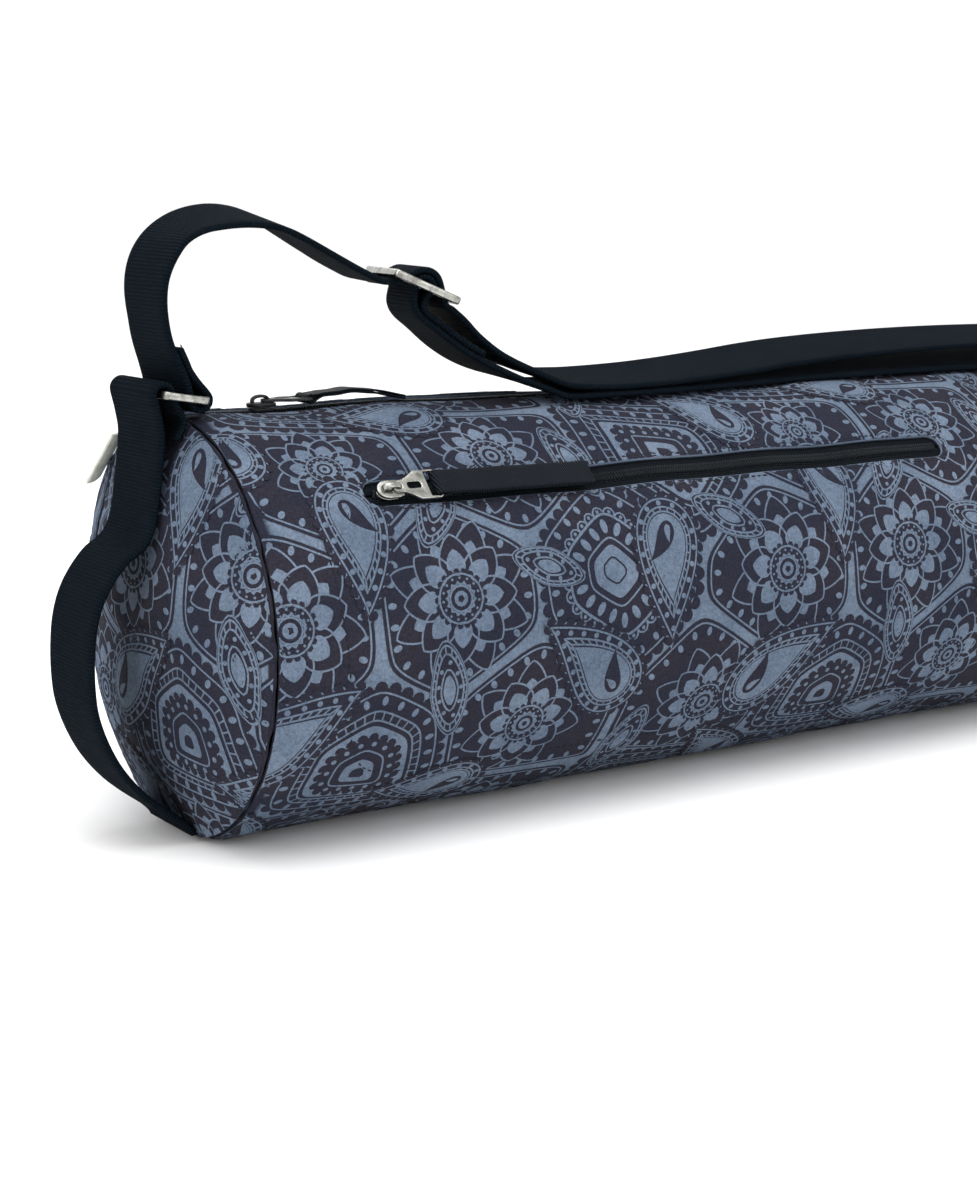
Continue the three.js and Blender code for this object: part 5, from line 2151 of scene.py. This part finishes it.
    def tape(self) -> bpy.types.Object:
        """Makes the ribbon, folded round the pull's end bar with its two halves lying on each other.

        Returns:
            The piece.
        """
        bar = self.pull_length - self.bail_wire / 2
        height = self.pull_height + self.pull_plate / 2
        wrap = math.hypot(self.bail_wire, self.pull_plate) / 2 + 0.0003 + self.ribbon / 2
        reach = self.ribbon_length - wrap

        def lay(share: float, layer: int) -> tuple:
            """Returns a point of one of the ribbon's layers, at a share of the way to its end."""
            bow = self.ribbon_arch * math.sin(math.pi * share) + (1 - share) * (height - 0.0006)
            ripple = 0.0003 * math.sin(share * 19) * min(share * 4, 1) * (1 - share)
            settle = 0.0004 + self.ribbon / 2 + layer * (self.ribbon + 0.0002)
            return (bar + wrap + share * reach, 0, settle + bow + ripple)

        lower = [lay(share, 0) for share in np.linspace(1, 0.08, 16)]
        upper = [lay(share, 1) for share in np.linspace(0.08, 1, 16)]
        fold = [
            (bar + wrap * math.cos(t), 0, height + wrap * math.sin(t))
            for t in np.radians(np.linspace(300, 60, 9))
        ]
        path = smooth_line([*lower, *fold, *upper], 150)
        path = np.array([self.on_pull @ Vector(p) for p in path])
        across = np.tile(np.array(self.on_pull.to_3x3() @ Vector((0, 1, 0))), (len(path), 1))
        return sweep(self.name + "_tape", path, across, rounded_section(self.ribbon_width, self.ribbon, 4, 8))


# Webbing


class Stations:
    """Rows of stations of webbing: the far and the near edge of its middle surface."""

    def __init__(self, width: float = 0.038, thickness: float = 0.0024) -> None:
        """Keeps the webbing's size."""
        self.width, self.thickness = width, thickness

    def across(self, x: float, z: float, skew: float = 0, drop: float = 0, shift: float = 0) -> Point:
        """Returns a station that lies across the bag, skewed, leaning and shifted by shares of the width.

        Args:
            x: Place along the bag.
            z: Height.
            skew: How far it is skewed.
            drop: How steeply it leans.
            shift: How far it is shifted.

        Returns:
            The station.
        """
        offset = np.array([skew, -1, -drop]) * self.width / 2
        middle = np.array([x, -shift * self.width, z])
        return np.array([middle - offset, middle + offset])

    def wrap(self, x: float, z: float, radius: float, start: float, end: float) -> Point:
        """Returns stations on an arc round a bar.

        Args:
            x: The bar's place.
            z: The bar's height.
            radius: The arc's radius.
            start: First angle in degrees.
            end: Last angle.

        Returns:
            The stations.
        """
        count = max(3, round(abs(end - start) / 22))
        turns = np.radians(start + (end - start) * np.arange(count + 1) / count)
        return np.array([self.across(x + radius * math.cos(t), z + radius * math.sin(t)) for t in turns])

    @staticmethod
    def smooth(stations: Sequence, spacing: float) -> Point:
        """Returns a smooth run through stations, about a spacing apart.

        Args:
            stations: The given stations.
            spacing: Their distance.

        Returns:
            The run's stations.
        """
        s = np.array(stations)
        fine = smooth_line(s[:, 0], 200)
        length = float(np.linalg.norm(np.diff(fine, axis=0), axis=1).sum())
        count = max(len(s), round(length / spacing))
        return np.stack([smooth_line(s[:, 0], count), smooth_line(s[:, 1], count)], axis=1)

    @staticmethod
    def layer_on(stations: Point, offset: float) -> Point:
        """Returns the stations moved off the webbing's face.

        Args:
            stations: The stations.
            offset: How far.

        Returns:
            The moved stations.
        """
        middle = stations.sum(axis=1)
        run = np.array([middle[min(i + 1, len(middle) - 1)] - middle[max(i - 1, 0)] for i in range(len(middle))])
        lift = unit(np.cross(run, stations[:, 1] - stations[:, 0])) * offset
        return stations + lift[:, None]

    def strip(self, name: str, stations: Point, spacing: float = 0.0021, flats: int = 10) -> bpy.types.Object:
        """Makes the webbing through stations, with rounded edges.

        Args:
            name: Its name.
            stations: The stations.
            spacing: Length of a step.
            flats: Steps across it.

        Returns:
            The piece.
        """
        run = self.smooth(stations, spacing)
        path = run.mean(axis=1)
        return sweep(name, path, run[:, 1] - run[:, 0], rounded_section(self.width, self.thickness, 4, flats))

    def seam_rows(self, stations: Point, offsets: Sequence[float], lift: float) -> list[tuple[Point, Point]]:
        """Returns lines for stitches along webbing, at shares of its width, over one of its faces."""
        run = self.smooth(stations, 0.002)
        middle = run.mean(axis=1)
        across = run[:, 1] - run[:, 0]
        out = unit(np.cross(unit(np.gradient(middle, axis=0)), across)) * math.copysign(1, lift)
        return [(middle + across * k + out * abs(lift), out) for k in offsets]


@dataclass(frozen=True)
class Hardware:
    """Places and sizes of the rings and of the buckle."""

    form: BagForm
    bar: float = 0.003
    ring_pitch: float = 0.015
    ring_inset: float = 0.0025
    ring_tilt: float = 10.0
    side_room: float = 0.001
    buckle_reach: float = 0.101
    buckle_rise: float = 0.0385
    buckle_dip: float = 24.0
    buckle_yaw: float = -16.0
    weave_slope: float = 52.0
    bevel: float = 0.0007

    @property
    def wrap(self) -> float:
        """The radius of webbing's middle round a bar."""
        return self.bar / math.sqrt(2) + self.form.clearance + self.form.webbing_thickness / 2

    @property
    def layer(self) -> float:
        """The height of one layer of webbing on another."""
        return self.form.webbing_thickness + self.form.clearance

    @property
    def inner_bar(self) -> Point:
        """A ring's inner bar, measured from the end seam."""
        height = 2 * self.form.radius + self.form.clearance + self.wrap + self.form.webbing_thickness / 2
        return np.array([self.ring_inset, 0, height])

    @property
    def outer_bar(self) -> Point:
        """A ring's outer bar, measured from the end seam."""
        tilt = math.radians(self.ring_tilt)
        return self.inner_bar + np.array([-math.cos(tilt), 0, math.sin(tilt)]) * self.ring_pitch

    @property
    def left_inner(self) -> Point:
        """The left ring's inner bar on the bag."""
        return self.inner_bar + np.array([self.form.left, 0, 0])

    @property
    def buckle(self) -> Point:
        """The buckle's middle."""
        return self.left_inner + np.array([self.buckle_reach, 0, self.buckle_rise])

    @property
    def buckle_pitch(self) -> float:
        """The distance between the buckle's bars."""
        return (2 * self.wrap + self.layer) / math.sin(math.radians(self.weave_slope))

    @property
    def buckle_frame(self) -> Matrix:
        """The buckle's frame."""
        turn = Matrix.Rotation(math.radians(self.buckle_yaw), 4, "Z")
        turn = turn @ Matrix.Rotation(math.radians(self.buckle_dip), 4, "Y")
        return Matrix.Translation(Vector(self.buckle)) @ turn

    def bar_frame(self, name: str, pitch: float, slots: int, place: Matrix) -> bpy.types.Object:
        """Makes a flat cast frame with slots between its cross bars.

        Args:
            name: Its name.
            pitch: The bars' distance.
            slots: How many slots.
            place: Its frame.

        Returns:
            The piece.
        """
        half_long = (pitch * slots + self.bar) / 2
        half_wide = self.form.webbing / 2 + self.side_room + self.bar
        outlines = [rounded_box(half_long, half_wide, self.bar * 0.55)]
        for k in range(slots):
            middle = -half_long + (self.bar + pitch) / 2 + k * pitch
            outlines.append(rounded_box((pitch - self.bar) / 2, half_wide - self.bar, 0.0004, middle, 3))
        return plate(name, outlines, self.bar, self.bevel, place)

    def build(self, finishes: Finishes) -> list[bpy.types.Object]:
        """Makes both rings and the buckle.

        Args:
            finishes: The bag's finishes.

        Returns:
            The dressed pieces.
        """
        pieces = []
        middle = (self.inner_bar + self.outer_bar) / 2
        for side in Side:
            x = (self.form.left + middle[0]) * side.value
            place = Matrix.Translation((x, 0, middle[2]))
            place = place @ Matrix.Rotation(math.radians(self.ring_tilt) * side.value, 4, "Y")
            name = side.name.lower()
            ring = self.bar_frame(name + "_ring", self.ring_pitch, 1, place)
            pieces.append(dress(ring, finishes.nickel, Slot.NICKEL, "end_ring_" + name))
        buckle = self.bar_frame("buckle", self.buckle_pitch, 2, self.buckle_frame)
        pieces.append(dress(buckle, finishes.nickel, Slot.NICKEL, "strap_buckle"))
        return pieces


@dataclass
class EndHandle:
    """A webbing handle on one end: through its ring and down the end panel to the lower seam."""

    form: BagForm
    hardware: Hardware
    side: Side
    reach: float = 0.043
    over_rim: float = 0.0022
    seam_heights: tuple = (0.945, 0.965, 0.985)
    hang: tuple = (
        (0.33, 1.0), (0.305, 0.955), (0.33, 0.885), (0.37, 0.815), (0.415, 0.745), (0.52, 0.705),
        (0.64, 0.685), (0.77, 0.648), (0.885, 0.6), (0.96, 0.543), (0.995, 0.475), (1.0, 0.4),
        (0.975, 0.335), (0.89, 0.265), (0.765, 0.2), (0.58, 0.138), (0.38, 0.09), (0.22, 0.058),
        (0.0, 0.034), (0.0, 0.023),
    )

    def beside_end(self, height: float) -> float:
        """Returns the nearest that webbing comes to the end panel at a height.

        Args:
            height: The height.

        Returns:
            The place, from the end seam.
        """
        form = self.form
        share = min(abs(height - form.radius) / (form.radius - form.rim_tuck), 1)
        stand = float(form.stands(np.array(share)))
        return -(0.00015 + form.cloth + stand + 2 * form.clearance + form.webbing_thickness / 2)

    def stations(self) -> Point:
        """Returns the handle's stations on the left end, measured from the end seam.

        Returns:
            The stations.
        """
        webbing = Stations()
        tall = 2 * self.form.radius
        seam = [webbing.across(self.beside_end(up * tall), up * tall) for up in self.seam_heights]
        outer, wrap = self.hardware.outer_bar, self.hardware.wrap
        rise_x = (seam[2][0][0] + outer[0] + wrap) / 2 - self.form.clearance
        fold = webbing.wrap(outer[0], outer[2], wrap, 0, 180)
        down = [webbing.across(min(-out * self.reach, self.beside_end(up * tall)), up * tall) for out, up in self.hang]
        root = webbing.smooth([*seam, webbing.across(rise_x, tall + self.over_rim), fold[0]], 0.004)[:-1]
        fall = webbing.smooth([fold[-1], *down], 0.006)[1:]
        return np.concatenate([root, fold, fall])

    def build(self, finishes: Finishes, rows: RowTree) -> list[bpy.types.Object]:
        """Makes the webbing."""
        name = self.side.name.lower()
        stations = self.stations()
        stations[..., 0] = (stations[..., 0] + self.form.left) * self.side.value
        webbing = Stations()
        strap = webbing.strip("handle_webbing_" + name, stations)
        dress(strap, finishes.webbing, Slot.WEBBING, "end_handle_" + name)
        return [strap]


@dataclass
class ShoulderStrap:
    """The adjustable strap: a loop over the left end, the buckle, and two layers to the right ring."""

    form: BagForm
    hardware: Hardware
    loop_rise: float = 0.0655
    descent_reach: float = 0.057
    arch: float = 0.008
    tail: float = 0.015
    loop: tuple = (
        (-0.053, 0.11, 0, 0), (-0.075, 0.207, -0.03, 0), (-0.1, 0.313, -0.06, 0), (-0.116, 0.449, -0.07, 0),
        (-0.122, 0.57, -0.05, 0), (-0.114, 0.675, -0.03, 0.01), (-0.087, 0.781, 0, 0.02),
        (-0.039, 0.879, 0.02, 0.03), (0.03, 0.945, 0.04, 0.08), (0.104, 0.98, 0.04, 0.14),
        (0.208, 1.0, 0, 0.18), (0.331, 0.98, 0, 0.175), (0.425, 0.922, 0, 0.165), (0.527, 0.838, 0, 0.145),
        (0.612, 0.767, -0.02, 0.12), (0.699, 0.697, -0.05, 0.09), (0.787, 0.637, -0.12, 0.05),
    )
    lower_descent: tuple = (
        (-0.085, 0.84, -0.27, 0, 0), (-0.055, 0.735, -0.26, 0, 0.02), (0.063, 0.599, -0.23, 0, 0.06),
        (0.195, 0.45, -0.19, 0, 0.1), (0.339, 0.322, -0.14, 0.01, 0.14), (0.474, 0.232, -0.1, 0.02, 0.17),
        (0.611, 0.155, -0.07, 0.05, 0.2), (0.749, 0.095, -0.05, 0.08, 0.22), (0.889, 0.035, -0.03, 0.11, 0.23),
    )
    upper_descent: tuple = (
        (0.3, 0.677, -0.25, 0, 0.02), (0.37, 0.56, -0.23, 0, 0.05), (0.444, 0.457, -0.2, 0, 0.08),
        (0.518, 0.373, -0.16, 0.01, 0.11), (0.6, 0.305, -0.11, 0.03, 0.14), (0.702, 0.245, -0.08, 0.06, 0.18),
        (0.854, 0.165, -0.04, 0.1, 0.22),
    )
    lay: tuple = (
        (0, 0.12, 0.24, 0.22), (0.03, 0.13, 0.24, 0.06), (0.06, 0.14, 0.23, 0.03), (0.11, 0.15, 0.2, 0.08),
        (0.17, 0.165, 0.14, 0.24), (0.26, 0.18, 0.04, 0.58), (0.36, 0.18, 0, 0.82), (0.48, 0.17, 0, 0.95),
        (0.62, 0.14, 0, 0.88), (0.76, 0.1, 0, 0.6), (0.88, 0.05, 0, 0.28), (0.95, 0.02, 0, 0.12),
    )

    def descent(self, rows: tuple) -> list[Point]:
        """Returns stations from the buckle down to the bag.

        Args:
            rows: Their shares of the way and the height, skew, drop and shift.

        Returns:
            The stations.
        """
        webbing, buckle = Stations(), self.hardware.buckle
        foot = self.form.resting_height(0, 0)
        return [
            webbing.across(buckle[0] + along * self.descent_reach, foot + rise * (buckle[2] - foot), skew, drop, shift)
            for along, rise, skew, drop, shift in rows
        ]

    def lying(self, upper: bool) -> list[Point]:
        """Returns stations along the top of the bag, of the lower or the upper layer.

        Args:
            upper: Whether it is the upper layer.

        Returns:
            The stations.
        """
        webbing = Stations()
        landing = self.hardware.buckle[0] + self.descent_reach
        right = -self.hardware.left_inner[0]
        made = []
        for along, drop, shift, bow in self.lay:
            lift = self.hardware.layer / math.cos(math.atan(drop)) + bow * self.arch if upper else 0
            height = self.form.resting_height(drop, shift) + lift
            made.append(webbing.across(landing + along * (right - landing), height, 0, drop, shift))
        return made

    def in_buckle(self, stations: Point) -> Point:
        """Returns stations of the buckle's frame, placed on the bag."""
        frame_of = np.array(self.hardware.buckle_frame)
        return stations @ frame_of[:3, :3].T + frame_of[:3, 3]

    def running(self) -> tuple[Point, Point]:
        """Returns the running strap's stations, and those of its sewn end at the left ring."""
        webbing, hw = Stations(), self.hardware
        inner, wrap = hw.left_inner, hw.wrap
        loop = [
            webbing.across(inner[0] + along * hw.buckle_reach, inner[2] + rise * self.loop_rise, skew, drop)
            for along, rise, skew, drop in self.loop
        ]
        ring_wrap = webbing.wrap(inner[0], inner[2], wrap, 20, -180)
        loop_run = webbing.smooth([ring_wrap[-1], *loop], 0.006)
        count = round(self.tail / 0.006)
        tail = webbing.layer_on(loop_run[1 : count + 3], hw.layer)[1:][::-1]
        tail_run = webbing.smooth([*tail, ring_wrap[0]], 0.004)[:-1]
        lean, pitch = 90 - hw.weave_slope, hw.buckle_pitch
        weave = self.in_buckle(np.concatenate([
            webbing.wrap(-pitch, 0, wrap, -100, -lean),
            webbing.wrap(0, 0, wrap + hw.layer, 180 - lean, lean),
            webbing.wrap(pitch, 0, wrap, 180 + lean, 280),
        ]))
        upper = webbing.smooth([weave[-1], *self.descent(self.upper_descent), *self.lying(True)], 0.012)
        far_wrap = webbing.wrap(-inner[0], inner[2], wrap, 90, -70)
        whole = np.concatenate([tail_run, ring_wrap, loop_run[1:], weave, upper[1:], far_wrap])
        return whole, tail

    def returning(self) -> tuple[Point, Point]:
        """Returns the stations of the strap's way back to the buckle, and of its sewn end there."""
        webbing, hw = Stations(), self.hardware
        leg = self.descent(self.lower_descent)
        fixed_wrap = self.in_buckle(webbing.wrap(0, 0, hw.wrap, -40, 215))
        approach = webbing.across(-hw.left_inner[0] - self.form.clearance, hw.inner_bar[2] - hw.wrap)
        run = webbing.smooth([fixed_wrap[-1], *leg, *self.lying(False), approach], 0.012)
        tail = webbing.layer_on(webbing.smooth(leg[1:5], 0.006), -hw.layer)[::-1]
        tail_run = webbing.smooth([*tail, fixed_wrap[0]], 0.006)[:-1]
        return np.concatenate([tail_run, fixed_wrap, run[1:]]), tail

    def build(self, finishes: Finishes, rows: RowTree) -> list[bpy.types.Object]:
        """Makes both runs of the webbing and the stitches of their sewn ends."""
        webbing = Stations()
        running, ring_tail = self.running()
        returning, buckle_tail = self.returning()
        strap = webbing.strip("strap_webbing", running)
        back = webbing.strip("strap_webbing_back", returning)
        dress(strap, finishes.webbing, Slot.WEBBING, "shoulder_strap")
        dress(back, finishes.webbing, Slot.WEBBING, "strap_return")
        shares = (-0.42, -0.14, 0.14, 0.42)
        lift = self.form.webbing_thickness / 2 + 0.0001
        lines = webbing.seam_rows(ring_tail, shares, -lift) + webbing.seam_rows(buckle_tail, shares, lift)
        lines += webbing.seam_rows(ring_tail, shares, lift) + webbing.seam_rows(buckle_tail, shares, -lift)
        seam = rows.row("strap_stitches", lines, (0.0024, 0.0006, 0.0005), 0.0031, finishes.thread)
        dress(seam, finishes.thread, Slot.WEBBING)
        return [strap, back, seam]


@dataclass
class Label:
    """A blank folded tape, sewn into the left end seam."""

    form: BagForm
    width: float = 0.034
    length: float = 0.014
    thickness: float = 0.0012
    angle: float = 219.0
    out: float = 0.45
    inward: float = 0.4

    def build(self, finishes: Finishes) -> bpy.types.Object:
        """Makes the label.

        Args:
            finishes: The bag's finishes.

        Returns:
            The dressed piece.
        """
        form = self.form
        turn = math.radians(self.angle)
        rim = form.skin(np.array(form.left), np.array(turn), 0.0)
        sideways = np.array([0, -math.cos(turn), math.sin(turn)])
        inwards = np.array([0, math.sin(turn), math.cos(turn)])
        root = 0.00015 + form.cloth + form.clearance + self.thickness
        path = []
        for share in np.linspace(0, 1, 14):
            middle = np.array([form.left - root - self.length * self.out * share, rim[1], rim[2]])
            bend = 2 * form.clearance + self.length * self.inward * share * (1 - share / 2)
            path.append(middle + inwards * bend)
        section = rounded_section(self.width, self.thickness, 5, 14)
        piece = sweep("label_tape", np.array(path), np.tile(sideways, (len(path), 1)), section)
        return dress(piece, finishes.label, Slot.LABEL, "label")


@dataclass
class Pouch:
    """The pocket's inner pouch, sewn to the inside of the body panel, and its stitches outside."""

    form: BagForm
    side_margin: float = 0.021
    top_margin: float = 0.012
    depth: float = 0.112
    thickness: float = 0.001
    tape_depth: float = 0.0032

    def seam_line(self) -> Point:
        """Returns the pouch's outline on the flat cloth, as its stitches run.

        Returns:
            The outline.
        """
        form = self.form
        left = form.mouth_middle - form.mouth_length / 2 - self.side_margin + 0.006
        right = form.mouth_middle + form.mouth_length / 2 + self.side_margin - 0.006
        low, high = form.mouth_arc - self.depth, form.mouth_arc + self.top_margin * 0.5
        points = [
            (left - 0.008, high), (left - 0.0065, high - 0.028), (left - 0.003, high - 0.06),
            (left + 0.002, low + 0.02), (left + 0.012, low + 0.005), (left + 0.034, low + 0.0005),
            (left + 0.1, low - 0.003), (0.5 * (left + right), low - 0.004),
            (right - 0.1, low - 0.003), (right - 0.02, low + 0.001), (right - 0.004, low + 0.012),
            (right, low + 0.04), (right + 0.002, high),
        ]
        return smooth_line(np.column_stack([points, np.zeros(len(points))]), 400)[:, :2]

    def mouth_line(self, away: float) -> Point:
        """Returns a line round the pocket's mouth at a distance from its edge.

        Args:
            away: The distance.

        Returns:
            The line.
        """
        form = self.form
        straight = (form.mouth_length - form.mouth_height) / 2
        reach = form.mouth_height / 2 + away
        points = []
        for side, start in ((1, -90), (-1, 90)):
            for turn in np.radians(np.linspace(start, start + 180, 15)):
                x = form.mouth_middle + side * straight + reach * math.cos(turn)
                points.append((x, form.mouth_arc + reach * math.sin(turn)))
        points.append(points[0])
        return InkPad.even(np.array(points), False, 0.003)

    def build(self, finishes: Finishes, rows: RowTree, cloth: ClothGrid) -> list[bpy.types.Object]:
        """Makes the pouch and the stitches that show on the body panel.

        Args:
            finishes: The bag's finishes.
            rows: The tree that makes rows.
            cloth: The body panel's cloth.

        Returns:
            The dressed pieces.
        """
        form = self.form
        half = form.mouth_length / 2 + self.side_margin
        along = spaced(form.mouth_middle - half, form.mouth_middle + half, 0.006)
        around = spaced(form.mouth_arc - self.depth, form.mouth_arc + self.top_margin, 0.005)
        pouch = band("pouch_cloth", form, along, around, self.tape_depth, self.thickness)
        dress(pouch, finishes.canvas, Slot.CANVAS, "pocket_pouch")
        seam = rows.row(
            "pouch_stitches", [stitched(cloth, self.seam_line())], (0.0024, 0.00075, 0.0006), 0.0034, finishes.thread
        )
        dress(seam, finishes.thread, Slot.CANVAS)
        mouth = rows.row(
            "mouth_stitches", [stitched(cloth, self.mouth_line(0.0019))], (0.0021, 0.0007, 0.0006), 0.003,
            finishes.thread,
        )
        dress(mouth, finishes.thread, Slot.CANVAS)
        return [pouch, seam, mouth]


def stitched(cloth: ClothGrid, line: Point) -> tuple[Point, Point]:
    """Returns a line on the cloth for stitches, and the directions out of the cloth along it."""
    points = cloth.place(line, 0.0002)
    return points, unit(cloth.place(line, 0.0012) - points)


# Camera, floor and lights


@dataclass(frozen=True)
class Studio:
    """The camera, the floor and the soft light."""

    place: tuple = (-0.6777, -0.71186, 0.23597)
    azimuth: float = -33.83
    elevation: float = 10.38
    lens: float = 64.83

    def camera(self) -> None:
        """Places the camera."""
        data = bpy.data.cameras.new("camera")
        data.lens = self.lens
        data.sensor_width = 36.0
        data.sensor_fit = "AUTO"
        data.clip_start, data.clip_end = 0.01, 100.0
        camera = bpy.data.objects.new("camera", data)
        a, e = math.radians(self.azimuth), math.radians(self.elevation)
        back = Vector((math.sin(a) * math.cos(e), -math.cos(a) * math.cos(e), math.sin(e)))
        camera.location = self.place
        camera.rotation_mode = "QUATERNION"
        camera.rotation_quaternion = (-back).to_track_quat("-Z", "Y")
        bpy.context.scene.collection.objects.link(camera)
        bpy.context.scene.camera = camera

    def floor(self) -> bpy.types.Object:
        """Makes a pale round floor that rises far behind the bag.

        Returns:
            The floor.
        """
        profile = [(0.0, 0.0), (1.5, 0.0), (3.0, 0.0), (3.8, 0.12), (4.5, 0.5), (5.1, 1.2), (5.5, 2.2), (5.7, 3.4)]
        columns = 64
        corners = [(0.0, 0.0, 0.0)]
        for radius, height in profile[1:]:
            for k in range(columns):
                t = 2 * math.pi * k / columns
                corners.append((radius * math.cos(t), radius * math.sin(t), height))
        faces = [(0, 1 + k, 1 + (k + 1) % columns) for k in range(columns)]
        for i in range(len(profile) - 2):
            for k in range(columns):
                m = (k + 1) % columns
                a, b = 1 + i * columns, 1 + (i + 1) * columns
                faces.append((a + k, b + k, b + m, a + m))
        piece = solid("floor", np.array(corners), faces)
        shade = Shader("floor")
        tint = shade.noise(shade.place(), 1.5)
        colour = shade.mix(tint, (0.93, 0.93, 0.93, 1.0), (0.95, 0.95, 0.95, 1.0))
        shade.set(shade.surface.inputs["Base Color"], colour)
        shade.surface.inputs["Roughness"].default_value = 0.9
        shade.surface.inputs["Specular IOR Level"].default_value = 0.1
        piece.data.materials.append(shade.material)
        return piece

    def light(self, name: str, place: tuple, size: float, power: float) -> None:
        """Places a soft square light that points at the bag.

        Args:
            name: Its name.
            place: Where it hangs.
            size: Its side.
            power: Its power in watts.
        """
        data = bpy.data.lights.new(name, "AREA")
        data.size = size
        data.energy = power
        lamp = bpy.data.objects.new(name, data)
        lamp.location = place
        lamp.rotation_mode = "QUATERNION"
        lamp.rotation_quaternion = (Vector(place) - Vector((0, 0, 0.08))).to_track_quat("Z", "Y")
        bpy.context.scene.collection.objects.link(lamp)

    def build(self) -> None:
        """Makes the world's light, the lamps and the floor."""
        world = bpy.data.worlds.new("studio")
        world.use_nodes = True
        background = world.node_tree.nodes["Background"]
        background.inputs["Color"].default_value = (1.0, 1.0, 1.0, 1.0)
        background.inputs["Strength"].default_value = 1.0
        bpy.context.scene.world = world
        bpy.context.scene.view_settings.view_transform = "Standard"
        self.light("overhead", (-0.3, -0.4, 2.2), 1.8, 34)
        self.light("left", (-1.9, -0.6, 1.2), 1.2, 10)
        self.light("front", (0.2, -2.2, 1.1), 1.6, 10)
        self.light("back", (0.4, 2.0, 1.8), 1.8, 12)
        self.floor()


def main() -> None:
    """Builds the bag piece by piece."""
    logging.basicConfig(level=logging.INFO)
    studio = Studio()
    studio.camera()
    studio.build()
    finishes, rows, form = Finishes(), RowTree(), BagForm()

    body = BodyPanel(form)
    cloth = body.grid()
    canvas = body.build(finishes, cloth)
    prints = body.print_on(finishes)
    for side in Side:
        panel = EndPanel(form, side)
        dome = panel.grid()
        end = panel.build(finishes, dome)
        ink = panel.print_on(finishes, dome)
        log.info("%s end", side.name.lower())

    mouth_left = form.mouth_middle - form.mouth_length / 2
    mouth_right = form.mouth_middle + form.mouth_length / 2
    overlap = form.tape_overlap
    main_zip = Zip(
        form, "main_zip", 180, form.zip_opening, (form.left + 0.0002, form.length / 2 - 0.0002),
        (form.left + 0.012, form.length / 2 - 0.012),
    )
    pocket_zip = Zip(
        form, "pocket_zip", form.mouth_angle, form.mouth_height, (mouth_left - overlap, mouth_right + overlap),
        (mouth_left + 0.004, mouth_right - 0.004),
    )
    main_zip.build(finishes, rows)
    pocket_zip.build(finishes, rows)
    ZipPull(form, "main_zip", form.left + 0.036, 180, 0.042, 0.0024, "black_metal", Slot.BLACK_METAL).build(finishes)
    ZipPull(form, "pocket_zip", mouth_left + 0.010, form.mouth_angle, 0.070, 0.0, "nickel", Slot.NICKEL).build(finishes)
    pouch = Pouch(form)
    inner, *_ = pouch.build(finishes, rows, cloth)

    hardware = Hardware(form)
    hardware.build(finishes)
    for side in Side:
        EndHandle(form, hardware, side).build(finishes, rows)
    ShoulderStrap(form, hardware).build(finishes, rows)
    Label(form).build(finishes)


if __name__ == "__main__":
    main()
